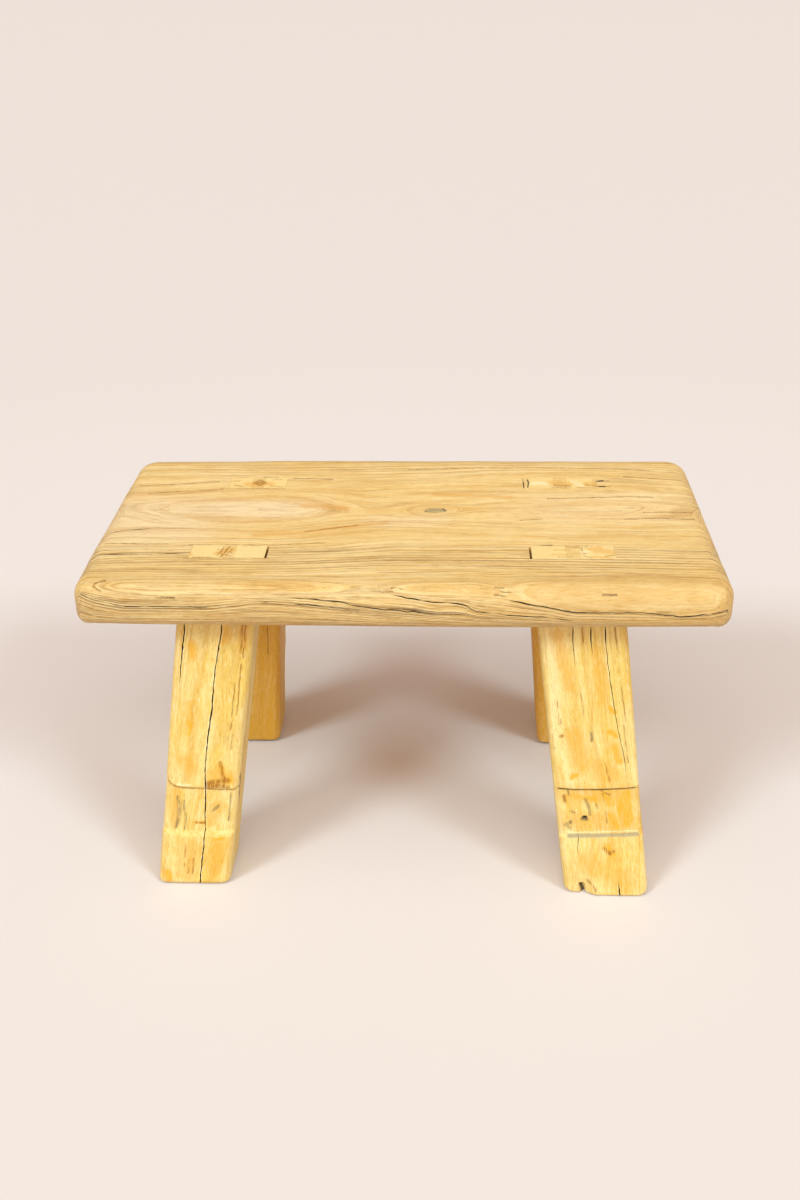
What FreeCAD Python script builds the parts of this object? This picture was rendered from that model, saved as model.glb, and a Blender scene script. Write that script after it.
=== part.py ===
"""A low country stool: one thick board seat on four splayed legs, put together without glue or nails.

Every leg leans outwards two ways at once. It ends in a tenon that runs right through the board at
that same compound angle, and a wedge driven into a saw kerf spreads the tenon from above.

Millimetres. The origin is on the floor under the middle of the seat, +X runs along the seat to the
right as seen from the front, +Y runs to the back and +Z is up.
"""
import FreeCAD, Part
import math
import os
from collections import namedtuple

# Seat board
SEAT_LENGTH = 400.0
SEAT_DEPTH = 209.0
SEAT_THICKNESS = 29.0
SEAT_HEIGHT = 229.0  # floor to the top of the board
SEAT_CORNER_RADIUS = 16.0  # the four corners, seen from above
SEAT_SIDE_BOW = 1.4  # the long sides swell outwards by this much at mid length
SEAT_TOP_ROUND = 12.0
SEAT_BOTTOM_ROUND = 9.5

# Legs, measured level: width along X, thickness along Y
FRONT_LEFT_LEG_WIDTH = 49.5
FRONT_RIGHT_LEG_WIDTH = 55.5
REAR_LEFT_LEG_WIDTH = 44.0
REAR_RIGHT_LEG_WIDTH = 48.5
LEG_THICKNESS = 40.0
LEG_INSET_X = 92.0  # from the end of the seat to the leg's centre at the seat top
LEG_INSET_Y = 50.0  # from the long side of the seat, in the same way
LEGS_OFF_CENTRE = -1.5  # the four legs were set out this far along X from the middle of the seat
FRONT_LEFT_OUTSET = 2.4  # how far a leg stands outwards of the line it was set out on
FRONT_RIGHT_OUTSET = 1.2
REAR_LEFT_OUTSET = 0.0
REAR_RIGHT_OUTSET = -0.75
LEG_ARRIS_RADIUS = 5.0  # long edges of the legs, rounded by wear
FOOT_ROUND = 2.5

# Lean of the legs in degrees: splay along X, rake along Y
FRONT_LEFT_SPLAY = 7.9
FRONT_RIGHT_SPLAY = 7.0
REAR_SPLAY = 4.6
FRONT_LEFT_RAKE = 7.7
FRONT_RIGHT_RAKE = 8.3
REAR_RAKE = 7.5

# Through tenons, wedges and slips
TENON_THICKNESS = 18.0
FRONT_LEFT_INNER_SHOULDER = 1.6  # the leg is this much wider than its tenon towards the stool's middle
FRONT_LEFT_OUTER_SHOULDER = 6.4  # and this much at the other end
FRONT_RIGHT_INNER_SHOULDER = 3.8
FRONT_RIGHT_OUTER_SHOULDER = 6.2
REAR_LEFT_INNER_SHOULDER = 1.0
REAR_LEFT_OUTER_SHOULDER = 9.0
REAR_RIGHT_INNER_SHOULDER = 5.5
REAR_RIGHT_OUTER_SHOULDER = 4.0
TENON_FLARE_WIDTH = 3.0  # each end moves out by this much at the seat top when the wedge goes in
JOINT_CLEARANCE = 0.1  # between a tenon or slip and its mortise
FRONT_MORTISE_SLACK = 1.4  # open gap at the inner end of the front mortises
REAR_RIGHT_INNER_SLIP = 3.4  # slips that pack out the rear right mortise, which was cut too long
REAR_RIGHT_OUTER_SLIP = 2.6
WEDGE_HEAD_WIDTH = 9.0
WEDGE_TIP_WIDTH = 1.6  # also the width of the saw kerf
KERF_STOP = 4.0  # the kerf ends this far above the shoulder
WEDGE_TIP_GAP = 1.5  # room left under the wedge in its kerf

# Shallow housing cut across the outer face of every leg, above the foot
HOUSING_BOTTOM = 40.0  # above the floor
HOUSING_HEIGHT = 36.0
HOUSING_DEPTH = 3.0

CUT_MARGIN = 5.0  # how far cutting bodies run past what they cut
FILLET_SHARE = 0.45  # a round takes at most this share of the wall that it sits on
SAME_HEIGHT = 1e-6  # heights this close are one height

Leg = namedtuple(
    "Leg",
    "name side_x side_y width outset splay rake inner_shoulder outer_shoulder slack inner_slip outer_slip",
)

LEGS = [
    Leg("front_left", -1, -1, FRONT_LEFT_LEG_WIDTH, FRONT_LEFT_OUTSET, FRONT_LEFT_SPLAY, FRONT_LEFT_RAKE,
        FRONT_LEFT_INNER_SHOULDER, FRONT_LEFT_OUTER_SHOULDER, FRONT_MORTISE_SLACK, 0.0, 0.0),
    Leg("front_right", 1, -1, FRONT_RIGHT_LEG_WIDTH, FRONT_RIGHT_OUTSET, FRONT_RIGHT_SPLAY, FRONT_RIGHT_RAKE,
        FRONT_RIGHT_INNER_SHOULDER, FRONT_RIGHT_OUTER_SHOULDER, FRONT_MORTISE_SLACK, 0.0, 0.0),
    Leg("rear_left", -1, 1, REAR_LEFT_LEG_WIDTH, REAR_LEFT_OUTSET, REAR_SPLAY, REAR_RAKE,
        REAR_LEFT_INNER_SHOULDER, REAR_LEFT_OUTER_SHOULDER, 0.0, 0.0, 0.0),
    Leg("rear_right", 1, 1, REAR_RIGHT_LEG_WIDTH, REAR_RIGHT_OUTSET, REAR_SPLAY, REAR_RAKE,
        REAR_RIGHT_INNER_SHOULDER, REAR_RIGHT_OUTER_SHOULDER, 0.0,
        REAR_RIGHT_INNER_SLIP, REAR_RIGHT_OUTER_SLIP),
]

SEAT_UNDERSIDE = SEAT_HEIGHT - SEAT_THICKNESS


def leg_centre(leg, height):
    """Centre of a leg at a height: the point under the seat, moved outwards along both leans."""
    drop = SEAT_HEIGHT - height
    reach_x = SEAT_LENGTH / 2 - LEG_INSET_X + leg.outset + drop * math.tan(math.radians(leg.splay))
    reach_y = SEAT_DEPTH / 2 - LEG_INSET_Y + drop * math.tan(math.radians(leg.rake))
    return FreeCAD.Vector(LEGS_OFF_CENTRE + leg.side_x * reach_x, leg.side_y * reach_y, height)


def level_rectangle(leg, height, inner, outer, near, far):
    """Level rectangle in a leg, as a wire.

    inner and outer are measured along X from the leg's centre, outwards from the stool's middle;
    near and far are measured along Y in the same way.
    """
    centre = leg_centre(leg, height)
    corners = [(inner, near), (outer, near), (outer, far), (inner, far)]
    points = [
        centre + FreeCAD.Vector(leg.side_x * along, leg.side_y * across, 0)
        for along, across in corners
    ]
    return Part.makePolygon(points + points[:1])


def leaning_block(leg, low, high, inner, outer, near, far):
    """Prism that leans with the leg between two heights."""
    base = Part.Face(level_rectangle(leg, low, inner, outer, near, far))
    return base.extrude(leg_centre(leg, high) - leg_centre(leg, low))


def cross_bar(leg, profile):
    """Bar along Y through the seat at a leg, from a profile of X and Z points."""
    reach = LEG_THICKNESS + SEAT_THICKNESS
    start = leg_centre(leg, SEAT_HEIGHT).y - reach
    points = [FreeCAD.Vector(x, start, z) for x, z in profile]
    face = Part.Face(Part.makePolygon(points + points[:1]))
    return face.extrude(FreeCAD.Vector(0, 2 * reach, 0))


def tenon_ends(leg, height):
    """Inner and outer end of a tenon at a height, along X from the leg's centre.

    The ends part evenly from the shoulder up, as the wedge spreads them.
    """
    flare = TENON_FLARE_WIDTH * (height - SEAT_UNDERSIDE) / SEAT_THICKNESS
    return leg.inner_shoulder - leg.width / 2 - flare, leg.width / 2 - leg.outer_shoulder + flare


def flared_block(leg, low, high, span, half):
    """Block with the tenon's flare between two heights; span gives its two ends at a height."""
    profile = []
    for height, order in ((low, 1), (high, -1)):
        centre = leg_centre(leg, height).x
        profile += [(centre + leg.side_x * end, height) for end in span(height)[::order]]
    slab = leaning_block(leg, low, high, -leg.width, leg.width, -half, half)
    return cross_bar(leg, profile).common(slab)


def tenon(leg):
    """The leg's tenon, as it is once the wedge has spread it."""

    def span(height):
        return tenon_ends(leg, height)

    return flared_block(leg, SEAT_UNDERSIDE, SEAT_HEIGHT, span, TENON_THICKNESS / 2)


def mortise_cutter(leg):
    """Leaning, flared hole for the tenon, its slips and the slack at its inner end."""

    def span(height):
        inner, outer = tenon_ends(leg, height)
        inner -= leg.inner_slip + leg.slack + JOINT_CLEARANCE
        return inner, outer + leg.outer_slip + JOINT_CLEARANCE

    half = TENON_THICKNESS / 2 + JOINT_CLEARANCE
    return flared_block(leg, SEAT_UNDERSIDE - CUT_MARGIN, SEAT_HEIGHT + CUT_MARGIN, span, half)


def inner_slip(leg):
    """Thin slip that packs the inner end of an over-long mortise."""

    def span(height):
        inner = tenon_ends(leg, height)[0]
        return inner - leg.inner_slip, inner

    return flared_block(leg, SEAT_UNDERSIDE, SEAT_HEIGHT, span, TENON_THICKNESS / 2)


def outer_slip(leg):
    """Thin slip that packs the outer end of an over-long mortise."""

    def span(height):
        outer = tenon_ends(leg, height)[1]
        return outer, outer + leg.outer_slip

    return flared_block(leg, SEAT_UNDERSIDE, SEAT_HEIGHT, span, TENON_THICKNESS / 2)


def wedge(leg):
    """Wedge across the middle of the tenon, widest at the seat top and flush with the tenon."""
    tip_height = SEAT_UNDERSIDE + KERF_STOP + WEDGE_TIP_GAP

    def span(height):
        taper = (height - tip_height) / (SEAT_HEIGHT - tip_height)
        half_width = (WEDGE_TIP_WIDTH + taper * (WEDGE_HEAD_WIDTH - WEDGE_TIP_WIDTH)) / 2
        middle = sum(tenon_ends(leg, height)) / 2
        return middle - half_width, middle + half_width

    return flared_block(leg, tip_height, SEAT_HEIGHT, span, TENON_THICKNESS / 2)


def kerf_tail(leg):
    """The part of the saw kerf that the wedge doesn't reach."""
    low = SEAT_UNDERSIDE + KERF_STOP

    def span(height):
        middle = sum(tenon_ends(leg, height)) / 2
        return middle - WEDGE_TIP_WIDTH / 2, middle + WEDGE_TIP_WIDTH / 2

    return flared_block(leg, low, low + WEDGE_TIP_GAP, span, TENON_THICKNESS / 2)


def edges_between(shape, low, high):
    """Edges of a shape that start at one height and end at the other, or lie level where both agree."""
    found = []
    for edge in shape.Edges:
        box = edge.BoundBox
        if abs(box.ZMin - low) < SAME_HEIGHT and abs(box.ZMax - high) < SAME_HEIGHT:
            found.append(edge)
    return found


def leg_solid(leg):
    """Rounded leaning blank with a level sole, a housing, and a kerfed tenon on a level shoulder."""
    half_width = leg.width / 2
    half_thickness = LEG_THICKNESS / 2
    blank = leaning_block(
        leg, 0.0, SEAT_UNDERSIDE, -half_width, half_width, -half_thickness, half_thickness
    )
    wall = (LEG_THICKNESS - TENON_THICKNESS) / 2
    arris = min(LEG_ARRIS_RADIUS, FILLET_SHARE * wall * 2, FILLET_SHARE * leg.width)
    blank = blank.makeFillet(arris, edges_between(blank, 0.0, SEAT_UNDERSIDE))
    foot = min(FOOT_ROUND, FILLET_SHARE * arris * 2)
    blank = blank.makeFillet(foot, edges_between(blank, 0.0, 0.0))
    housing = leaning_block(
        leg, HOUSING_BOTTOM, HOUSING_BOTTOM + HOUSING_HEIGHT,
        -half_width - CUT_MARGIN, half_width + CUT_MARGIN,
        half_thickness - HOUSING_DEPTH, half_thickness + CUT_MARGIN,
    )
    blank = blank.cut(housing)
    kerfed_tenon = tenon(leg).cut(wedge(leg)).cut(kerf_tail(leg))
    return blank.fuse(kerfed_tenon).removeSplitter()


def seat_outline():
    """Plan of the board before its corners are rounded: straight ends and bowed long sides."""
    x = SEAT_LENGTH / 2
    y = SEAT_DEPTH / 2
    end_y = y - SEAT_SIDE_BOW
    point = FreeCAD.Vector
    edges = [
        Part.Arc(point(-x, -end_y, 0), point(0, -y, 0), point(x, -end_y, 0)).toShape(),
        Part.makeLine(point(x, -end_y, 0), point(x, end_y, 0)),
        Part.Arc(point(x, end_y, 0), point(0, y, 0), point(-x, end_y, 0)).toShape(),
        Part.makeLine(point(-x, end_y, 0), point(-x, -end_y, 0)),
    ]
    return Part.Wire(edges)


def seat_solid():
    """Board with round corners, rolled edges and four leaning mortises."""
    face = Part.Face(seat_outline())
    face.translate(FreeCAD.Vector(0, 0, SEAT_UNDERSIDE))
    board = face.extrude(FreeCAD.Vector(0, 0, SEAT_THICKNESS))
    board = board.makeFillet(SEAT_CORNER_RADIUS, edges_between(board, SEAT_UNDERSIDE, SEAT_HEIGHT))
    limit = FILLET_SHARE * min(SEAT_THICKNESS, 2 * SEAT_CORNER_RADIUS)
    for height, radius in ((SEAT_HEIGHT, SEAT_TOP_ROUND), (SEAT_UNDERSIDE, SEAT_BOTTOM_ROUND)):
        board = board.makeFillet(min(radius, limit), edges_between(board, height, height))
    for leg in LEGS:
        board = board.cut(mortise_cutter(leg))
    return board


def single_solid(shape):
    """The one solid that a shape holds."""
    if len(shape.Solids) != 1:
        raise ValueError("expected one solid, found %d" % len(shape.Solids))
    return shape.Solids[0]


def build():
    """Every piece of the stool by name."""
    pieces = {"seat_board": seat_solid()}
    for leg in LEGS:
        pieces["leg_" + leg.name] = leg_solid(leg)
        pieces["tenon_wedge_" + leg.name] = wedge(leg)
        if leg.inner_slip:
            pieces["tenon_slip_inner_" + leg.name] = inner_slip(leg)
        if leg.outer_slip:
            pieces["tenon_slip_outer_" + leg.name] = outer_slip(leg)
    return pieces


os.makedirs("parts", exist_ok=True)
for piece_name, piece in build().items():
    solid = single_solid(piece)
    solid.exportStep(os.path.join("parts", piece_name + ".step"))
    size = solid.optimalBoundingBox()
    print("%-28s %8.1f cm3  x %.1f y %.1f z %.1f  valid %s" % (
        piece_name, solid.Volume / 1000, size.XLength, size.YLength, size.ZLength, solid.isValid()))
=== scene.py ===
"""Looks of the low stool: a figured board seat on four splayed legs with wedged through tenons.

Lengths in the construction are millimetres in the row frame; meshes are written in metres.
"""
import math
import bpy
import numpy as np
from mathutils import Matrix


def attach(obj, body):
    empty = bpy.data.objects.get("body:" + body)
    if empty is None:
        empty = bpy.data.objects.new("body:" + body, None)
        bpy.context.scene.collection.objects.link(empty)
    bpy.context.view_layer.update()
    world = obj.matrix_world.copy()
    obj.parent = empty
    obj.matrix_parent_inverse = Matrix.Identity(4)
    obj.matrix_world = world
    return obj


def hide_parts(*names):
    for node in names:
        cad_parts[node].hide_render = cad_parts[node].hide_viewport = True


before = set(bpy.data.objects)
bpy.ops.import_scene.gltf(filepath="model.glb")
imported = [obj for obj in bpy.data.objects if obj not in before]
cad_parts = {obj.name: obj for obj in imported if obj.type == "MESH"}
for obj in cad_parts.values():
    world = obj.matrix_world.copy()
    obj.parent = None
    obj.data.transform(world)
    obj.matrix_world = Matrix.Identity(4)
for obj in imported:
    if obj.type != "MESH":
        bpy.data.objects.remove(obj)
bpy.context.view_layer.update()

MM = 0.001

# Seat board
SEAT_TOP = 229.0
SEAT_UNDERSIDE = 200.0
SEAT_THICKNESS = SEAT_TOP - SEAT_UNDERSIDE
HALF_LENGTH = 200.0
HALF_DEPTH = 104.5
CORNER = 16.0
TOP_ROUND = 12.0
BOTTOM_ROUND = 9.5
SIDE_BOW = 1.4
BOW_START = 40.0
END_FULLNESS = 1.7
FULL_LEAN = 0.75 * math.pi
FULL_SPREAD = 0.5
PITH_DEPTH = 46.0
RING_STEP = 3.4
CORNER_X = HALF_LENGTH - CORNER
CORNER_Y = HALF_DEPTH - CORNER
TOP_FLAT = CORNER - TOP_ROUND
TOP_ARC = TOP_ROUND * math.pi / 2
BAND = SEAT_THICKNESS - TOP_ROUND - BOTTOM_ROUND
TOP_REACH = TOP_FLAT + TOP_ARC + BAND + BOTTOM_ROUND * math.pi / 4
BOTTOM_FLAT = CORNER - BOTTOM_ROUND
BOTTOM_REACH = BOTTOM_FLAT + BOTTOM_ROUND * math.pi / 4
SEAM_P = CORNER_X + TOP_REACH
SEAM_Q = CORNER_Y + TOP_REACH

# Tenons and their wedges; the set of legs stands a little off the middle of the board
TENON_X = 108.0
TENON_Y = 54.5
LEGS_OFF_MIDDLE = -1.5
TENON_HALF = 9.0
FLARE = 3.0
JOINT_CLEARANCE = 0.1
MORTISE_HALF = TENON_HALF + JOINT_CLEARANCE
WEDGE_HEAD = 9.0
WEDGE_TIP = 1.6
KERF_BOTTOM = 204.0
WEDGE_BOTTOM = 205.5


class Leg:
    """Set-out of one leg: its lean, its width and where its tenon ends lie."""

    def __init__(self, name, side_x, side_y, width, outset, splay, rake, inner, outer, slack,
                 inner_slip, outer_slip):
        self.name = name
        self.side_x = side_x
        self.side_y = side_y
        self.width = width
        self.outset = outset
        self.lean_x = side_x * math.tan(math.radians(splay))
        self.lean_y = side_y * math.tan(math.radians(rake))
        self.inner = inner
        self.outer = outer
        self.slack = slack
        self.inner_slip = inner_slip
        self.outer_slip = outer_slip

    def centre(self, z):
        """Centre of the level section at height z."""
        drop = SEAT_TOP - z
        x = LEGS_OFF_MIDDLE + self.side_x * (TENON_X + self.outset) + drop * self.lean_x
        return x, self.side_y * TENON_Y + drop * self.lean_y

    def tenon_span(self, z):
        """Inner and outer end of the tenon at height z, as X positions."""
        flare = FLARE * (z - SEAT_UNDERSIDE) / SEAT_THICKNESS
        x = self.centre(z)[0]
        inner = x + self.side_x * (self.inner - self.width / 2 - flare)
        return inner, x + self.side_x * (self.width / 2 - self.outer + flare)

    def mortise_span(self, z):
        """Inner and outer end of the mortise at height z, as X positions."""
        inner, outer = self.tenon_span(z)
        inner -= self.side_x * (self.inner_slip + self.slack + JOINT_CLEARANCE)
        return inner, outer + self.side_x * (self.outer_slip + JOINT_CLEARANCE)

    def wedge_span(self, z):
        """Ends of the wedge at height z, tapering from its head to its tip about the middle of the tenon."""
        middle = sum(self.tenon_span(z)) / 2
        share = (z - WEDGE_BOTTOM) / (SEAT_TOP - WEDGE_BOTTOM)
        half = (WEDGE_TIP + share * (WEDGE_HEAD - WEDGE_TIP)) / 2
        return middle - half, middle + half

    def inner_slip_span(self, z):
        """Ends of the slip before the inner end of the tenon, on a right-hand leg."""
        inner = self.tenon_span(z)[0]
        return inner - self.inner_slip, inner

    def outer_slip_span(self, z):
        """Ends of the slip behind the outer end of the tenon, on a right-hand leg."""
        outer = self.tenon_span(z)[1]
        return outer, outer + self.outer_slip


LEGS = {leg.name: leg for leg in (
    Leg("front_left", -1, -1, 49.5, 2.4, 7.9, 7.7, 1.6, 6.4, 1.4, 0.0, 0.0),
    Leg("front_right", 1, -1, 55.5, 1.2, 7.0, 8.3, 3.8, 6.2, 1.4, 0.0, 0.0),
    Leg("rear_left", -1, 1, 44.0, 0.0, 4.6, 7.5, 1.0, 9.0, 0.0, 0.0, 0.0),
    Leg("rear_right", 1, 1, 48.5, -0.75, 4.6, 7.5, 5.5, 4.0, 0.0, 3.4, 2.6),
)}


# Curves and noise

def curve(points, s):
    """Smooth curve through points of position and value: cubic pieces that lie level at highs and lows.

    A plain number stands for a level line.
    """
    if np.isscalar(points):
        return np.full_like(s, points)
    xs, ys = np.array(points, float).T
    step = np.diff(ys) / np.diff(xs)
    slope = np.concatenate([step[:1], (step[:-1] + step[1:]) / 2, step[-1:]])
    slope[1:-1][step[:-1] * step[1:] <= 0] = 0
    s = np.clip(s, xs[0], xs[-1])
    i = np.clip(np.searchsorted(xs, s, side="right") - 1, 0, len(xs) - 2)
    h = xs[i + 1] - xs[i]
    t = (s - xs[i]) / h
    rise = t * t * (3 - 2 * t)
    return ys[i] * (1 - rise) + ys[i + 1] * rise + h * t * (1 - t) * (slope[i] * (1 - t) - slope[i + 1] * t)


def smooth(low, high, x):
    """Smooth step from 0 at low to 1 at high."""
    t = np.clip((x - low) / (high - low), 0, 1)
    return t * t * (3 - 2 * t)


def window(x, rise, top, fall, end):
    """1 from top to fall, with smooth steps to 0 at rise and at end."""
    return smooth(rise, top, x) * (1 - smooth(fall, end, x))


def spot(p, q, place, power):
    """Soft spot: its strength times e to minus the powers of both distances over its reaches."""
    at_p, at_q, reach_p, reach_q, strength = place
    return strength * np.exp(-((p - at_p) / reach_p) ** power - ((q - at_q) / reach_q) ** power)


NOISE_CELLS = 64


def drift(u, v, seed, cell_u, cell_v):
    """Seeded smooth noise from -1 to 1: random values on a lattice of cells, joined by smooth steps."""
    table = np.random.default_rng(seed).uniform(-1, 1, (NOISE_CELLS, NOISE_CELLS))
    a = np.asarray(u) / cell_u
    b = np.asarray(v) / cell_v
    i = np.floor(a).astype(int)
    j = np.floor(b).astype(int)
    ta = smooth(0, 1, a - i)
    tb = smooth(0, 1, b - j)

    def row(k):
        """Values along one row of the lattice."""
        here = table[k % NOISE_CELLS, j % NOISE_CELLS]
        after = table[k % NOISE_CELLS, (j + 1) % NOISE_CELLS]
        return here * (1 - tb) + after * tb

    return row(i) * (1 - ta) + row(i + 1) * ta


def uneven(u, v, waves, shift=0):
    """Sum of drifts; each wave is a size, a seed and its cells along u and v."""
    return sum(size * drift(u, v, seed + shift, cell_u, cell_v) for size, seed, cell_u, cell_v in waves)


def waver(u, seed, cell):
    """Seeded smooth noise from -1 to 1 along one line."""
    return drift(u, 0 * u, seed, cell, 1)


STROKE_CELLS = (3.1, 4.3)


def drawn(u, v, strokes, seed, shake):
    """Soft mask of drawn strokes over surface places: 1 along each line, falling to 0 at its half width.

    The places are shaken a little first, so that no stroke is quite straight.
    """
    mask = np.zeros_like(u)
    shaken_u = u + shake * drift(u, v, seed, *STROKE_CELLS)
    shaken_v = v + shake * drift(u, v, seed + 1, *STROKE_CELLS)
    for places, width in strokes:
        for (u0, v0), (u1, v1) in zip(places[:-1], places[1:]):
            arm_u, arm_v = u1 - u0, v1 - v0
            along = ((shaken_u - u0) * arm_u + (shaken_v - v0) * arm_v) / max(arm_u ** 2 + arm_v ** 2, 1e-6)
            along = np.clip(along, 0, 1)
            away = np.hypot(shaken_u - u0 - along * arm_u, shaken_v - v0 - along * arm_v)
            mask = np.maximum(mask, 1 - smooth(0.25 * width, 1.2 * width, away))
    return mask


def rail_lines(rails, counts):
    """Lines between neighbouring rails, evenly spaced; counts holds the steps after each rail.

    Returns the lines stacked on the last axis and the index of each rail.
    """
    rails = np.broadcast_arrays(*[np.asarray(rail, float) for rail in rails])
    parts = []
    index = [0]
    for low, high, count in zip(rails[:-1], rails[1:], counts):
        t = np.arange(count) / count
        parts.append(low[..., None] * (1 - t) + high[..., None] * t)
        index.append(index[-1] + count)
    parts.append(rails[-1][..., None])
    return np.concatenate(parts, axis=-1), index


def ring_of(*sides):
    """Closed ring of four sides, each without its last point, because the next side starts there."""
    return np.concatenate([side[..., :-1] for side in sides], -1)


def box_ring(front, side):
    """Closed ring round a box from the places along its front and along its side, as two parts."""
    along = ring_of(front, np.full(len(side), front[-1]), front[::-1], np.full(len(side), front[0]))
    return along, ring_of(np.full(len(front), side[0]), side, np.full(len(front), side[-1]), side[::-1])


# Meshes

SHARP_ANGLE = math.radians(38)


def quads(index):
    """Quads of a grid of vertex numbers, turned so that the first axis runs right and the second away."""
    return np.stack([index[:-1, :-1], index[1:, :-1], index[1:, 1:], index[:-1, 1:]], -1).reshape(-1, 4)


def make_piece(name, points, faces, node, slot, material, **attributes):
    """Mesh object from arrays of points in millimetres and quads, standing for one CAD node."""
    mesh = bpy.data.meshes.new(name)
    mesh.vertices.add(len(points))
    mesh.vertices.foreach_set("co", (points * MM).astype(np.float32).ravel())
    mesh.loops.add(faces.size)
    mesh.loops.foreach_set("vertex_index", faces.astype(np.int32).ravel())
    mesh.polygons.add(len(faces))
    mesh.polygons.foreach_set("loop_start", np.arange(0, faces.size, 4, dtype=np.int32))
    mesh.update(calc_edges=True)
    mesh.validate()
    for key, values in attributes.items():
        kind, entry = ("FLOAT_VECTOR", "vector") if values.ndim == 2 else ("FLOAT", "value")
        layer = mesh.attributes.new(key, kind, "POINT")
        layer.data.foreach_set(entry, values.astype(np.float32).ravel())
    mesh.shade_smooth()
    mesh.set_sharp_from_angle(angle=SHARP_ANGLE)
    piece = bpy.data.objects.new(name, mesh)
    bpy.context.scene.collection.objects.link(piece)
    mesh.materials.append(material)
    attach(piece, "root")
    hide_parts(node)


# Figure of the seat, in seat coordinates: p along the board and q across it, unrolled over its edges
# Lines run from -222 to 222, just past the seam at both ends

SEAT_CRACKS = {
    "low": [
        (-222, -108), (-202, -106.2), (-188.6, -107.6), (-175, -110.6), (-164, -112.4), (-138.5, -112.2),
        (-118.7, -112.5), (-100, -110.5), (-84, -108.6), (-73, -108.8), (-61, -109.8), (-43, -111.8),
        (-23, -113.8), (0, -116.2), (30, -119), (60, -121.4), (99, -122.8), (150, -124), (222, -124.6),
    ],
    "left": [
        (-222, -106.5), (-202, -105), (-188.6, -105.4), (-175, -107.5), (-164, -109), (-138.5, -109),
        (-118.7, -108.5), (-100, -107), (-84, -106.2), (-64, -105.9), (-49, -107), (-34, -108.6),
        (-23, -111.2), (0, -113.7), (10.6, -114.7), (18, -116.2), (30, -117.2), (60, -119.7), (99, -121.5),
        (150, -122.8), (222, -123.2),
    ],
    "middle": [
        (-222, -105.5), (-202, -104), (-188, -103.2), (-175, -105.2), (-150, -107), (-120, -106),
        (-84, -104.9), (-64, -104.7), (-40, -104.4), (-14, -103.6), (0, -104.6), (9, -106.3), (20, -108),
        (39.5, -110), (44, -113), (61, -116), (74, -117), (90, -118), (99, -119.5), (120, -120.5),
        (150, -121.2), (222, -121.5),
    ],
    "right": [
        (-222, -104.5), (-202, -103), (-188, -101.5), (-175, -103.6), (-150, -105.6), (-120, -104.6),
        (-84, -103.4), (-50, -102.6), (-18, -102), (0, -103.2), (30, -104.5), (60, -105.5), (67.6, -107),
        (79, -109.4), (91, -111.7), (103, -114.4), (117, -114.7), (149, -115), (167, -117.3),
        (182, -115.7), (202, -114.7), (212, -115.5), (222, -116),
    ],
    "end_high": [
        (-222, -28.5), (-189.8, -26.6), (-181, -23.6), (-172, -21.8), (-161, -20.9), (-128, -20.9),
        (-90, -22), (222, -20),
    ],
    "end_low": [(-222, -60.5), (-190.8, -60.2), (-176.4, -59.3), (-134, -57.4), (-90, -56), (222, -55)],
}
# Half width of each crack along the board
CRACK_WIDTH = {
    "low": [
        (-208, 0.0), (-196, 0.3), (-170, 0.36), (-150, 0.22), (-118, 0.26), (-108, 0.0), (-88, 0.0),
        (-78, 0.3), (-50, 0.32), (-30, 0.24), (-16, 0.0), (222, 0.0),
    ],
    "left": [
        (-222, 0.0), (-68, 0.0), (-60, 0.32), (-40, 0.38), (-20, 0.36), (0, 0.4), (20, 0.32), (36, 0.0),
        (222, 0.0),
    ],
    "middle": [
        (-222, 0.0), (-8, 0.0), (2, 0.36), (20, 0.46), (40, 0.5), (60, 0.42), (80, 0.42), (98, 0.3),
        (108, 0.0), (222, 0.0),
    ],
    "right": [
        (-222, 0.0), (63, 0.0), (70, 0.4), (90, 0.46), (118, 0.34), (145, 0.3), (168, 0.42), (190, 0.3),
        (210, 0.34), (222, 0.24),
    ],
    "end_high": [
        (-222, 0.3), (-206, 0.45), (-194, 0.75), (-184, 0.95), (-170, 0.7), (-150, 0.3), (-126, 0.0),
        (222, 0.0),
    ],
    "end_low": [
        (-222, 0.26), (-206, 0.4), (-194, 0.7), (-184, 0.8), (-160, 0.55), (-138, 0.4), (-132, 0.0),
        (222, 0.0),
    ],
}
CRACK_DEPTH = 1.9  # for each millimetre of half width
CRACK_SHAPE = (-1.0, -0.55, 0.0, 0.55, 1.0)
SEAT_CRACK_SHARES = ((1, 0.62), (2, 1.0), (3, 0.62))
LEAST_HALF_WIDTH = 0.22
CRACK_WAVER = 0.35
CRACK_WANDER = [(0.28, 21, 4.5, 9), (0.12, 22, 2.1, 9)]
# Where the wood beside each front crack has gone grey, along the board
GREYED = {"low": (-204, -18), "left": (-78, 42), "middle": (-22, 114), "right": (56, 226)}
GREY_OFFSET = 0.9
GREY_REACH = 2.8
GREY_FADE = 8
# Spots on the seat: place, reach along and across the board, strength
GRIME_SPOTS = [
    (63, -101, 7, 4, 0.2), (-6, -100, 8, 3, 0.15), (124, -103.3, 5, 1.2, 0.8), (-140, -106.5, 7, 1.2, 0.8),
    (-49, 9, 6, 12, 0.3), (-168, 9, 7, 9, 0.25), (-184, -100, 8, 5, 0.6), (20, 8, 9, 5, 0.4),
    (-8, -12, 22, 5, 0.4), (160, 8, 30, 10, 0.25), (-120, 66, 26, 5, 0.35), (152, 54, 18, 8, 0.4),
    (150, -52, 14, 7, 0.35),
]
FADED_SPOTS = [
    (-108, 10.5, 52, 17, 0.75), (-165, -6, 44, 40, 0.7), (130, 14, 60, 26, 0.35), (0, -8, 30, 10, 0.4),
]
# Stretches of the front roll kept clear of grime, where the painted shade of the edge tone is laid on more
# heavily
DEEP_SHADE_SPOTS = [(136, -101.5, 72, 11, 1.3), (25, -98.5, 44, 7, 0.75), (-105, -97, 72, 5, 0.45)]
DEEP_SHADE_STRENGTH = 0.36
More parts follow.
